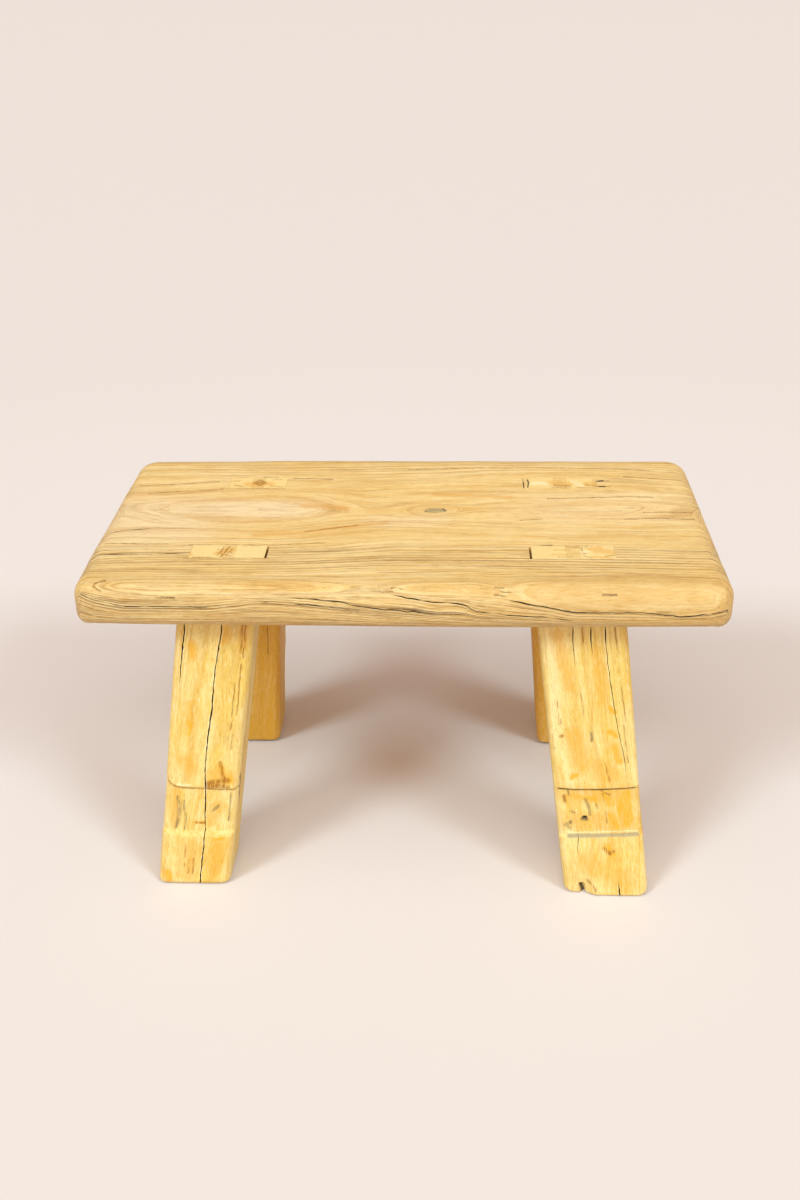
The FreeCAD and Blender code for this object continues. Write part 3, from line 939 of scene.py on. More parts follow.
def worn_face(a, b, z):
    """Depth of the front right leg's worn face: swollen low down, chipped at the sole, with one hole."""
    on_face = smooth(0, 0.7, -b / LEG_HALF_THICKNESS)
    b = b - SWELL * smooth(44, 0, z) * smooth(-14.6, -6.6, a) * on_face
    on_face = smooth(0, 0.7, -b / LEG_HALF_THICKNESS)
    b = b + CHIP_DEPTH * np.exp(-(((a - CHIP_AT) / CHIP_HALF) ** 4)) * smooth(8.6, 6.6, z) * on_face
    return b + spot(a, z, (HOLE_AT, HOLE_HEIGHT, HOLE_HALF, HOLE_HALF, HOLE_DEPTH), 4) * (b < 0)


def worn_lift(a, b, half_width):
    """How far the corners of the front right sole are worn up: quarter ellipses from both edges."""
    past = np.clip((a - half_width + WORN_LENGTH) / WORN_LENGTH, 0, 0.96)
    before = np.clip((WORN_LENGTH - half_width - a) / WORN_LENGTH, 0, 0.9)
    rise = WORN_RIGHT * (1 - np.sqrt(1 - past ** 2)) + WORN_LEFT * (1 - np.sqrt(1 - before ** 2))
    return rise * smooth(0.2, 0.9, -b / LEG_HALF_THICKNESS)


def tenon_ring(leg, level, n_front, n_side):
    """Ring of the tenon at a level: places across and in depth, and heights falling into the wedge's kerf."""
    inner, outer = sorted(leg.tenon_span(level))
    x = leg.centre(level)[0]
    share = (level - SEAT_UNDERSIDE) / SEAT_THICKNESS
    middle = (inner - x + outer - x) / 2
    tip = WEDGE_TIP / 2
    lip = tip + (WEDGE_HEAD / 2 - tip) * share
    before = n_front // 2 - 2
    steps = (before, 3, 1, 3, n_front - before - 7)
    stops = (inner - x, middle - lip, middle - tip, middle + tip, middle + lip, outer - x)
    line = rail_lines(stops, steps)[0]
    cut = rail_lines((SEAT_TOP, SEAT_TOP, KERF_BOTTOM, KERF_BOTTOM, SEAT_TOP, SEAT_TOP), steps)[0]
    side = np.linspace(-TENON_HALF, TENON_HALF, n_side + 1)
    heights = SEAT_UNDERSIDE + (cut - SEAT_UNDERSIDE) * share
    return (*box_ring(line, side), box_ring(heights, side)[0])


def build_leg(leg, material):
    """Leaning leg as a tube of rounded rectangles from sole to tenon end, notched for the wedge."""
    name = leg.name
    seed = len(name)
    half_width = leg.width / 2
    foot = FOOT_ROUND[name]
    cracks = LEG_CRACKS[name]
    # Straight rows place the crack lines; the rows that follow the housing come after
    rows = leg_rows(name, np.zeros(1))[0][:, 0]
    a, b, face_index, n_front, n_side = leg_section(leg, rows)
    z, housing = leg_rows(name, a[len(rows) // 2])
    # The housing lies on the outer face and runs out over the rounded corners
    b = b - leg.side_y * housing * smooth(-0.2, 0.75, leg.side_y * b / LEG_HALF_THICKNESS)
    crack = np.zeros_like(a)
    lips = np.zeros_like(a)
    for k, (_, width) in enumerate(cracks):
        widths = curve(width, rows)
        lines = crack_numbers(face_index, k)
        for offset, share in LEG_CRACK_SHARES:
            b[:, lines[offset]] += LEG_CRACK_DEPTH * widths * share
            crack[:, lines[offset]] = smooth(0.04, 0.3, widths) * (0.5 + 0.5 * share)
        opened = smooth(0.2, 0.5, widths) * np.clip(waver(rows, 87 + k, 2.3) + 0.4, 0, 1)
        lips[:, [lines[0], lines[-1]]] = opened[:, None]
    # Hand planing leaves the faces slightly hollow and the edges uneven
    hand = uneven(z, a + 3 * b, LEG_WAVES, seed)
    reach = np.maximum(np.hypot(a / half_width, b / LEG_HALF_THICKNESS), 0.5)
    a = a * (1 + hand / half_width / reach)
    b = b * (1 + hand / LEG_HALF_THICKNESS / reach)
    if name == "front_right":
        b = worn_face(a, b, z)

    # Foot: quarter-round rows from the sole's rim up to the first body row
    turn = np.linspace(0, math.pi / 2, FOOT_STEPS + 1)[:-1][:, None]
    inset = foot * (1 - np.sin(turn))
    foot_a = a[0] * (1 - inset / half_width)
    foot_b = b[0] * (1 - inset / LEG_HALF_THICKNESS)
    foot_z = np.broadcast_to(foot * (1 - np.cos(turn)), foot_a.shape)
    if name == "front_right":
        lift = worn_lift(a[0], b[0], half_width)
        foot_z = foot_z + lift
        z = z + lift * smooth(22, foot, z)

    # Tenon: each side of the body's ring maps onto the tenon's rectangle
    tenon = [tenon_ring(leg, level, n_front, n_side) for level in TENON_HEIGHTS]
    tenon_a, tenon_b, tenon_z = [np.array(part) for part in zip(*tenon)]
    levels = np.broadcast_to(TENON_HEIGHTS[:, None], tenon_z.shape)
    x, y = leg.centre(np.concatenate([foot_z, z, levels]))
    loops = np.stack([x + np.concatenate([foot_a, a, tenon_a]), y + np.concatenate([foot_b, b, tenon_b]),
                      np.concatenate([foot_z, z, tenon_z])], -1)
    points, faces = closed_tube(loops, n_front, n_side)
    points[:, 2] = np.maximum(points[:, 2], 0)

    # Figure and marks, from the place of each point in its level section
    height = points[:, 2]
    x, y = leg.centre(height)
    local_a, local_b = points[:, 0] - x, points[:, 1] - y
    pith_a, pith_b, pith_lean = LEG_PITH[name]
    bend = 2.2 * waver(height, 71 + seed, 60) + 0.8 * drift(height, local_a, 72 + seed, 24, 12)
    radius = np.hypot(local_a - pith_a - pith_lean * height + bend, local_b - pith_b)
    ring = radius / LEG_RING_STEP + 0.15 * drift(local_a, height, 73, 8, 40)
    on_tenon = height > TENON_START
    on_front = (local_b < -FRONT_SHARE * LEG_HALF_THICKNESS) & ~on_tenon
    on_right = (local_a > half_width - SIDE_DEPTH) & ~on_tenon
    on_tip = height > TIP_START
    # Masks of stains, painted shadow lines and painted highlights on the front, the tenon end and the side
    stain_and_light_masks = {}
    for key, (_, _, shake) in STAINS_AND_PAINTED_LIGHT.items():
        face = drawn(local_a, height, LEG_MARKS[name].get(key, []), FRONT_SEED, shake) * on_front
        tip = drawn(points[:, 0], points[:, 1], TIP_MARKS[name].get(key, []), TIP_SEED, TIP_SHAKE) * on_tip
        side = drawn(local_b, height, SIDE_MARKS.get(name, {}).get(key, []), SIDE_SEED, shake) * on_right
        stain_and_light_masks[key] = np.maximum(face + tip, side)
    body = slice(foot_a.size, foot_a.size + crack.size)
    stain_and_light_masks["bleach"][body] += lips.ravel()
    split = 0 * ring
    split[body] = crack.ravel()
    split[:foot_a.size] = np.tile(crack[0], len(foot_a))
    # Edge tone on the inner face of a rear leg, under the seat: painted shade
    edge = smooth(0, 0.8, -local_b / LEG_HALF_THICKNESS) if leg.side_y > 0 else 0 * ring
    make_piece("leg_" + name + "_wood", points, faces, "leg_" + name, "leg_wood", material,
               grain=np.stack([height, local_a, local_b], -1), ring=ring, crack=split, grime=0 * ring,
               edge=edge, crowd=0 * ring + 1, tip=smooth(TIP_START, TIP_FULL, height), **stain_and_light_masks)


def build_block(name, leg, span, low, node, material, seed):
    """Small leaning block in a mortise, with broken edges: a tube of level rectangles closed at both ends."""
    heights = [low, low + 0.3, *np.linspace(low + 2, SEAT_TOP - 2, 6), SEAT_TOP - 0.25, SEAT_TOP]
    pulls = [0.25] + [0.0] * 8 + [0.18]
    loops = []
    for z, pull in zip(heights, pulls):
        x0, x1 = sorted(span(z))
        y = leg.centre(z)[1]
        front = np.linspace(x0 + pull, x1 - pull, BLOCK_FRONT + 1)
        side = np.linspace(y - TENON_HALF + pull, y + TENON_HALF - pull, BLOCK_SIDE + 1)
        ring_x, ring_y = box_ring(front, side)
        loops.append(np.stack([ring_x, ring_y, np.full_like(ring_x, z)], -1))
    points, faces = closed_tube(np.array(loops), BLOCK_FRONT, BLOCK_SIDE)
    top = points[:, 2] > SEAT_TOP - 0.1
    points[top, 2] += 0.10 * drift(points[top, 0], points[top, 1], seed, 3, 4) - 0.12
    ring = points[:, 1] / BLOCK_RING_STEP + 0.4 * drift(points[:, 0], points[:, 1], seed + 1, 4, 6)
    marks = TIP_MARKS[leg.name]
    x, y = points[:, 0], points[:, 1]
    stain_and_light_masks = {key: drawn(x, y, marks.get(key, []), TIP_SEED, TIP_SHAKE) for key in STAINS_AND_PAINTED_LIGHT}
    make_piece(name, points, faces, node, "wedge_wood", material, grain=points[:, [2, 0, 1]] + seed * 7.3,
               ring=ring, crack=0 * ring, grime=0 * ring, edge=0 * ring, crowd=0 * ring + 1, **stain_and_light_masks)


# Shader building

WOOD_SHEEN = 0.32
BUMP_HEIGHT = 0.0004


class Value:
    """Output of a shader node; plus, minus and times add the node that works it out."""

    def __init__(self, hand, socket):
        self.hand = hand
        self.socket = socket

    def __add__(self, other):
        return self.hand.math("ADD", self, other)

    def __mul__(self, other):
        return self.hand.math("MULTIPLY", self, other)

    def __sub__(self, other):
        return self.hand.math("SUBTRACT", self, other)

    def __rsub__(self, other):
        return self.hand.math("SUBTRACT", other, self)


class Tree:
    """Short hand for adding and joining shader nodes in one node tree."""

    def __init__(self, tree):
        self.tree = tree

    def add(self, kind, **settings):
        """New node with the given settings."""
        node = self.tree.nodes.new(kind)
        for key, value in settings.items():
            setattr(node, key, value)
        return node

    def feed(self, socket, value):
        """Joins an output to a socket, or sets the socket to a constant."""
        if isinstance(value, Value):
            self.tree.links.new(value.socket, socket)
        else:
            socket.default_value = value

    def run(self, kind, values, output=0, **settings):
        """New node fed in order with the given values; returns one of its outputs."""
        node = self.add(kind, **settings)
        for socket, value in zip(node.inputs, values):
            self.feed(socket, value)
        return Value(self, node.outputs[output])

    def outputs(self, node):
        """All outputs of a node by name."""
        return {socket.name: Value(self, socket) for socket in node.outputs}

    def math(self, operation, *values, clamp=False):
        """Arithmetic on numbers."""
        return self.run("ShaderNodeMath", values, operation=operation, use_clamp=clamp)

    def vector(self, operation, *values):
        """Arithmetic on vectors, or their length or product."""
        output = "Value" if operation in ("LENGTH", "DOT_PRODUCT") else "Vector"
        return self.run("ShaderNodeVectorMath", values, output, operation=operation)

    def step(self, value, low, high):
        """Smooth step from 0 at low to 1 at high."""
        values = (value, low, high, 0.0, 1.0)
        return self.run("ShaderNodeMapRange", values, "Result", interpolation_type="SMOOTHSTEP")

    def noise(self, place, stretch, detail=3.0, roughness=0.55, output="Fac"):
        """Noise from 0 to 1 over a place in millimetres, with cells per millimetre given for each axis."""
        node = self.add("ShaderNodeTexNoise")
        self.feed(node.inputs["Vector"], self.vector("MULTIPLY", place, stretch))
        node.inputs["Scale"].default_value = 1.0
        node.inputs["Detail"].default_value = detail
        node.inputs["Roughness"].default_value = roughness
        return Value(self, node.outputs[output])

    def mix(self, share, first, second):
        """Colour between two colours."""
        node = self.add("ShaderNodeMix", data_type="RGBA")
        self.feed(node.inputs["Factor"], share)
        self.feed(node.inputs[6], first)
        self.feed(node.inputs[7], second)
        return Value(self, node.outputs[2])

    def attribute(self, name, output="Fac"):
        """Attribute of the mesh, nought where the mesh has none of that name."""
        return self.run("ShaderNodeAttribute", (), output, attribute_name=name)


def new_group(name, inputs, outputs):
    """Empty shader node group with sockets; returns the group, its tree hand, its inputs and its end node."""
    group = bpy.data.node_groups.new(name, "ShaderNodeTree")
    for sockets, way in ((inputs, "INPUT"), (outputs, "OUTPUT")):
        for key, kind in sockets.items():
            group.interface.new_socket(name=key, in_out=way, socket_type="NodeSocket" + kind)
    hand = Tree(group)
    return group, hand, hand.outputs(hand.add("NodeGroupInput")), hand.add("NodeGroupOutput")


def figure_group():
    """Growth lines, streaks, threads and pores of wood from its grain place and ring number.

    Streaks and threads are noise stretched along the grain and set out across it by ring number, so they
    bend with the growth lines; a thread is the line along which such noise crosses its middle value.
    """
    masks = ("Line", "Hair", "Streak", "Pore", "Cloud", "Fine", "Early", "Speck")
    group, t, given, end_node = new_group(
        "wood figure", {"Grain": "Vector", "Ring": "Float", "Grime": "Float", "Crowd": "Float"},
        dict.fromkeys(masks, "Float"))
    grain, crowd = given["Grain"], given["Crowd"]
    sway = (t.noise(grain, (0.012, 0.10, 0.10)) - 0.5) * 0.45
    ragged = (t.noise(grain, (0.07, 0.5, 0.5), 2.0) - 0.5) * 0.09
    place = given["Ring"] + sway + ragged
    split = t.add("ShaderNodeSeparateXYZ")
    t.feed(split.inputs[0], grain)
    parts = t.outputs(split)
    flow = t.run("ShaderNodeCombineXYZ", (parts["X"], place * 3.0, parts["Z"] * 0.02))

    share = t.math("FRACT", place)
    sharp = 1.0 - t.step(share, 0.94, 1.0)
    narrow = t.step(share + given["Grime"] * 0.22, 0.74, 0.86) * sharp
    broad = t.step(share, 0.2, 0.90) * sharp
    dice = t.add("ShaderNodeTexWhiteNoise", noise_dimensions="1D")
    t.feed(dice.inputs["W"], t.math("FLOOR", place) + 0.5)
    worth = t.outputs(dice)["Value"] * 0.7 + 0.3
    kept = t.step(t.noise(grain, (0.011, 0.10, 0.10), 2.0), 0.30, 0.62) * 0.7 + 0.3
    seen = worth * kept * (crowd * 0.7 + 0.3)
    early = 1.0 - t.step(share, 0.06, 0.42)

    middle = t.math("ABSOLUTE", t.noise(flow, (0.0045, 0.42, 1.0), 1.0) - 0.5)
    thread = 1.0 - t.step(middle, 0.015, 0.06)
    dash = t.step(t.noise(flow, (0.035, 0.8, 1.0), 2.0), 0.57, 0.65)
    broken = t.step(t.noise(grain, (0.03, 0.5, 0.5), 3.0), 0.34, 0.58)
    cloud = t.noise(grain, (0.012, 0.03, 0.03), 3.0) * 0.55
    mottle = t.noise(grain, (0.05, 0.13, 0.13), 4.0, 0.6) * 0.45
    results = {
        "Line": (narrow * 0.82 + broad * 0.18) * seen,
        "Early": early * crowd * seen,
        "Hair": t.math("MAXIMUM", thread, dash * 0.75) * broken,
        "Streak": t.noise(flow, (0.0045, 0.36, 1.0), 4.0, 0.62),
        "Fine": t.noise(flow, (0.016, 1.9, 1.0), 3.0, 0.65),
        "Pore": t.noise(grain, (0.12, 0.75, 0.75), 4.0, 0.7),
        "Speck": t.noise(grain, (0.17, 1.0, 1.0), 3.0, 0.75),
        "Cloud": cloud + mottle,
    }
    for key, value in results.items():
        t.feed(end_node.inputs[key], value)
    return group


def stroke_group():
    """Mask of a soft-edged stroke between two places: distance to the segment against a width."""
    group, t, given, end_node = new_group(
        "surface stroke", {"Mark": "Vector", "Start": "Vector", "End": "Vector", "Width": "Float"},
        {"Mask": "Float"})
    arm = t.vector("SUBTRACT", given["End"], given["Start"])
    offset = t.vector("SUBTRACT", given["Mark"], given["Start"])
    squared = t.math("MAXIMUM", t.vector("DOT_PRODUCT", arm, arm), 1e-6)
    share = t.math("DIVIDE", t.vector("DOT_PRODUCT", offset, arm), squared, clamp=True)
    scale = t.add("ShaderNodeVectorMath", operation="SCALE")
    t.feed(scale.inputs[0], arm)
    t.feed(scale.inputs["Scale"], share)
    distance = t.vector("LENGTH", t.vector("SUBTRACT", offset, t.outputs(scale)["Vector"]))
    width = given["Width"]
    t.feed(end_node.inputs["Mask"], 1.0 - t.step(distance, width * 0.1, width * 1.15))
    return group


def tone(red, green, blue):
    """Linear colour from screen values of 0 to 255."""
    value = np.array([red, green, blue]) / 255.0
    linear = np.where(value <= 0.04045, value / 12.92, ((value + 0.055) / 1.055) ** 2.4)
    return (*[float(v) for v in linear], 1.0)


def stroke_mask(t, group, mark, strokes):
    """Largest mask of a set of strokes; each is a list of places and a half width."""
    total = None
    for places, width in strokes:
        for start, end in zip(places[:-1], places[1:]):
            node = t.add("ShaderNodeGroup", node_tree=group)
            t.feed(node.inputs["Mark"], mark)
            node.inputs["Start"].default_value = (*start, 0.0)
            node.inputs["End"].default_value = (*end, 0.0)
            node.inputs["Width"].default_value = width
            mask = t.outputs(node)["Mask"]
            total = mask if total is None else t.math("MAXIMUM", total, mask)
    return total


def wood(name, groups, look, marks=None):
    """Wood material: pale ground, growth lines, streaks and pores, drawn marks, then dark cracks.

    Marks are strokes at places of the mark attribute; without them each stain, painted shadow line and
    painted highlight reads its own attribute.
    """
    material = bpy.data.materials.new(name)
    material.use_nodes = True
    t = Tree(material.node_tree)
    shader = material.node_tree.nodes["Principled BSDF"]
    look = {key: tone(*value) if isinstance(value, tuple) else value for key, value in look.items()}
    grain = t.attribute("grain", "Vector")
    grime = t.attribute("grime")
    figure = t.add("ShaderNodeGroup", node_tree=groups["figure"])
    t.feed(figure.inputs["Grain"], grain)
    t.feed(figure.inputs["Ring"], t.attribute("ring"))
    t.feed(figure.inputs["Grime"], grime)
    t.feed(figure.inputs["Crowd"], t.attribute("crowd"))
    out = t.outputs(figure)
    dark_line = t.mix(grime, look["line"], look["grey"])
    fine_share = grime * 0.3 + look["fine_share"]
    colour = t.mix(t.step(out["Cloud"], 0.38, 0.62), look["pale"], look["warm"])
    # Layers laid over the ground in turn: share of cover and colour
    layers = [
        (t.attribute("faded"), look["faded"]),
        (t.step(out["Streak"], 0.48, 0.70) * look["streak_share"], look["streak"]),
        (t.step(out["Streak"], 0.50, 0.30) * look["light_share"], look["light"]),
        # Painted shade from the edge attribute
        (t.attribute("edge") * look["edge_share"], look["edge"]),
        (out["Line"] * (grime * 0.9 + look["line_share"]), dark_line),
        (out["Early"] * (grime * 0.7 + look["early_share"]), look["light"]),
        (out["Hair"] * (grime * 0.6 + look["hair_share"]), dark_line),
        (t.step(out["Fine"], 0.50, 0.68) * fine_share, look["line"]),
        (t.step(out["Fine"], 0.50, 0.32) * fine_share, look["light"]),
        (t.step(out["Pore"], 0.54, 0.70) * (grime * look["pore_share"] + look["pore_share"]), look["pore"]),
        (t.step(out["Pore"], 0.46, 0.30) * (0.7 * look["pore_share"]), look["light"]),
        (t.step(out["Speck"], 0.54, 0.70) * look["speck_share"], look["pore"]),
        (t.step(out["Speck"], 0.46, 0.30) * look["speck_share"], look["light"]),
        (t.attribute("tip") * 0.6, look["end"]),
    ]
    worn = t.step(t.noise(grain, (0.12, 1.1, 1.1), 4.0, 0.65), 0.30, 0.56)
    if marks:
        mark = t.attribute("mark", "Vector")
        ragged = t.noise(mark, (0.35, 0.35, 0.35), 2.0, 0.5, "Color")
        shake = t.vector("MULTIPLY", t.vector("SUBTRACT", ragged, (0.5, 0.5, 0.5)), (2.0, 2.0, 0.0))
        shaken = t.vector("ADD", mark, shake)
    # Stains, painted shadow lines and painted highlights, each laid from its own mask
    for key, (share, breaks, _) in STAINS_AND_PAINTED_LIGHT.items():
        if marks and key not in marks:
            continue
        mask = stroke_mask(t, groups["stroke"], shaken, marks[key]) if marks else t.attribute(key)
        cover = mask * share
        layers.append((cover * worn if breaks else cover, look[key]))
    layers.append((t.step(t.attribute("crack"), 0.06, 0.75), look["black"]))
    for share, over in layers:
        colour = t.mix(share, colour, over)
    t.feed(shader.inputs["Base Color"], colour)
    t.feed(shader.inputs["Roughness"], out["Streak"] * 0.22 + look["rough"])
    shader.inputs["Specular IOR Level"].default_value = WOOD_SHEEN
    bump = t.add("ShaderNodeBump")
    bump.inputs["Strength"].default_value = look["bump"]
    bump.inputs["Distance"].default_value = BUMP_HEIGHT
    t.feed(bump.inputs["Height"], out["Fine"] * 0.5 - (out["Line"] * 0.4 + out["Pore"] * 0.8))
    t.feed(shader.inputs["Normal"], t.outputs(bump)["Normal"])
    return material


def stage_paper(near, far):
    """Matt material for the floor, going from one colour round the stool to another farther off."""
    material = bpy.data.materials.new("stage paper")
    material.use_nodes = True
    t = Tree(material.node_tree)
    shader = material.node_tree.nodes["Principled BSDF"]
    away = t.vector("LENGTH", t.outputs(t.add("ShaderNodeTexCoord"))["Object"])
    t.feed(shader.inputs["Base Color"], t.mix(t.step(away, 0.4, 1.2), near, far))
    shader.inputs["Roughness"].default_value = 0.9
    return material


# Marks: each stroke is a list of places on the piece and a half width

SEAT_MARKS = {
    "orange": [
        ([(-96, -31), (-70, -28), (-46, -20), (-12, -11)], 3.0), ([(-70, 16), (-40, 12)], 4.0),
        ([(20, 36), (70, 30)], 4.0),
    ],
    "brown": [
        ([(-188.6, 49.3), (-159.7, 53.1), (-133.9, 56.9)], 1.0),
        ([(-179.5, 35.6), (-159.7, 39.4), (-129.4, 43.2)], 0.9), ([(-190, -44), (-150, -44)], 0.8),
        ([(-64, -25), (-46, -20), (-30, -15)], 0.8),
        ([(-178, -95), (-184, -97.5), (-185, -100), (-180, -103)], 1.0),
        ([(-83, -45.6), (-50, -41.8)], 0.8), ([(95.6, 28), (115, 28.8), (152, 31), (167, 30)], 0.9),
        ([(76, -7), (90, -4.6)], 0.9), ([(158, 6), (175, 6.5), (190, 6)], 0.8),
        ([(0, 79), (45, 82), (85, 83), (152, 80.4), (171, 77.4)], 0.9),
        ([(152, 66), (179, 62), (191, 60)], 1.0), ([(-81.5, 62.6), (-53.5, 61)], 0.9),
        ([(-136, -63.9), (-83, -63.9)], 0.7), ([(-136, -45.2), (-83, -45.2)], 0.7),
        ([(108, -45.2), (119, -45.2)], 0.6), ([(-131, 45.2), (-86, 45.2)], 0.7),
    ],
    "grey": [
        ([(17, 8), (23, 8.6)], 4.4), ([(144, -4.6), (167, -3), (190, -5.4)], 0.9),
        ([(-103, 65), (-93, 65)], 1.0), ([(88, -44.4), (94, -44.4)], 1.2),
        ([(-13, -98), (-7, -98.8)], 0.55), ([(-5, -99.4), (2, -100)], 0.55),
        ([(-12, -101.4), (-4, -102)], 0.6), ([(57, -98.6), (62, -99.4)], 0.55),
        ([(59, -101.2), (66, -102)], 0.6), ([(56, -103.6), (63, -104.2)], 0.55),
        ([(120.5, -103.3), (128.5, -103.3)], 1.0), ([(-146, -106.6), (-135, -106.6)], 1.0),
    ],
    "dust": [([(16, 8), (24, 8.4)], 4.2)],
    "black": [
        ([(133, 58.6), (136.4, 59.4)], 1.5), ([(133, 49.3), (136.4, 48.8)], 1.5),
        ([(136, 58.8), (141, 59.2)], 0.4), ([(136, 49.2), (141, 49)], 0.4),
        ([(12.8, 6.2), (14.6, 6.4)], 0.6), ([(25.2, 10.4), (26.6, 7.4)], 0.7),
    ],
}
# Marks on the end of each tenon and on its wedge, at seat places
TIP_MARKS = {
    "front_left": {
        "brown": [
            ([(-116, -60), (-113, -49)], 0.55), ([(-113.4, -61.6), (-109.8, -48)], 0.8),
            ([(-110.6, -61), (-107.3, -51)], 0.5), ([(-117, -51), (-107, -57)], 0.5),
            ([(-117, -56), (-107, -61)], 0.45), ([(-102, -46.2), (-90, -46.6)], 0.4),
            ([(-130, -62.8), (-119, -62.6)], 0.45),
        ],
        "orange": [([(-116, -57), (-108, -52)], 4.0), ([(-134, -56), (-132, -60)], 1.4)],
        "black": [([(-134.6, -57.4), (-134.2, -56.4)], 0.8), ([(-134.4, -62.2), (-133.6, -62.6)], 0.7)],
    },
    "front_right": {
        "brown": [
            ([(111.6, -48), (112.6, -56)], 0.5), ([(112.6, -59), (117, -61.4)], 0.6),
            ([(110.5, -48.4), (116, -46.8)], 0.6), ([(104, -46.5), (110, -47)], 0.5),
            ([(126, -60), (131, -58)], 0.8), ([(97, -60.6), (106, -60.2)], 0.4),
        ],
        "orange": [
            ([(122, -51), (131, -54)], 5.0), ([(117, -50), (124, -47)], 2.4),
            ([(118, -60), (129, -62)], 1.8), ([(96, -50), (105, -51)], 1.4),
            ([(94, -57.5), (103, -57)], 1.2),
        ],
        "bleach": [([(112.4, -53.6), (116, -52.8)], 1.5)],
        "black": [([(113.6, -56.4), (114.6, -55.8)], 0.5)],
    },
    "rear_left": {
        "brown": [
            ([(-109, 55), (-104.5, 59.6), (-100, 55), (-104.5, 50.4), (-109, 55)], 1.5),
            ([(-107, 55), (-102, 55)], 2.0), ([(-122, 50), (-115, 48.5)], 0.7),
            ([(-126, 57), (-119, 58.5)], 0.5), ([(-96, 49), (-88, 48)], 0.6),
            ([(-97, 60.5), (-90, 61)], 0.5),
        ],
        "orange": [([(-112, 53), (-98, 53)], 5.0)],
    },
    "rear_right": {
        "brown": [
            ([(102, 51.4), (113, 50.6)], 1.2), ([(124, 51.6), (131, 50.6)], 1.2),
            ([(116, 59), (120, 52)], 0.6), ([(100, 47.2), (113, 47.0)], 0.7),
            ([(118, 47.0), (130, 46.8)], 0.6),
        ],
        "orange": [([(100, 55), (112, 54)], 5.0), ([(125, 54), (131, 55)], 4.0)],
        "bleach": [([(115.4, 58), (121, 51)], 2.2), ([(88, 55), (96, 54)], 4.0)],
        "black": [
            ([(80.9, 62), (80.4, 47)], 0.6), ([(84.6, 61), (84.0, 48)], 0.6),
            ([(134.2, 61.5), (134.8, 57)], 1.1), ([(134.6, 52.5), (134.2, 48)], 1.1),
        ],
    },
}
# Marks on the right-hand side of a leg
SIDE_MARKS = {
    "front_left": {
        "orange": [([(-8, 150), (-6, 20)], 4.0)],
        "brown": [([(-15, 84), (-9, 58)], 1.6), ([(-13, 110), (-13, 88)], 0.8)],
        "black": [([(-16, 82), (-12, 64)], 0.7)],
    },
}
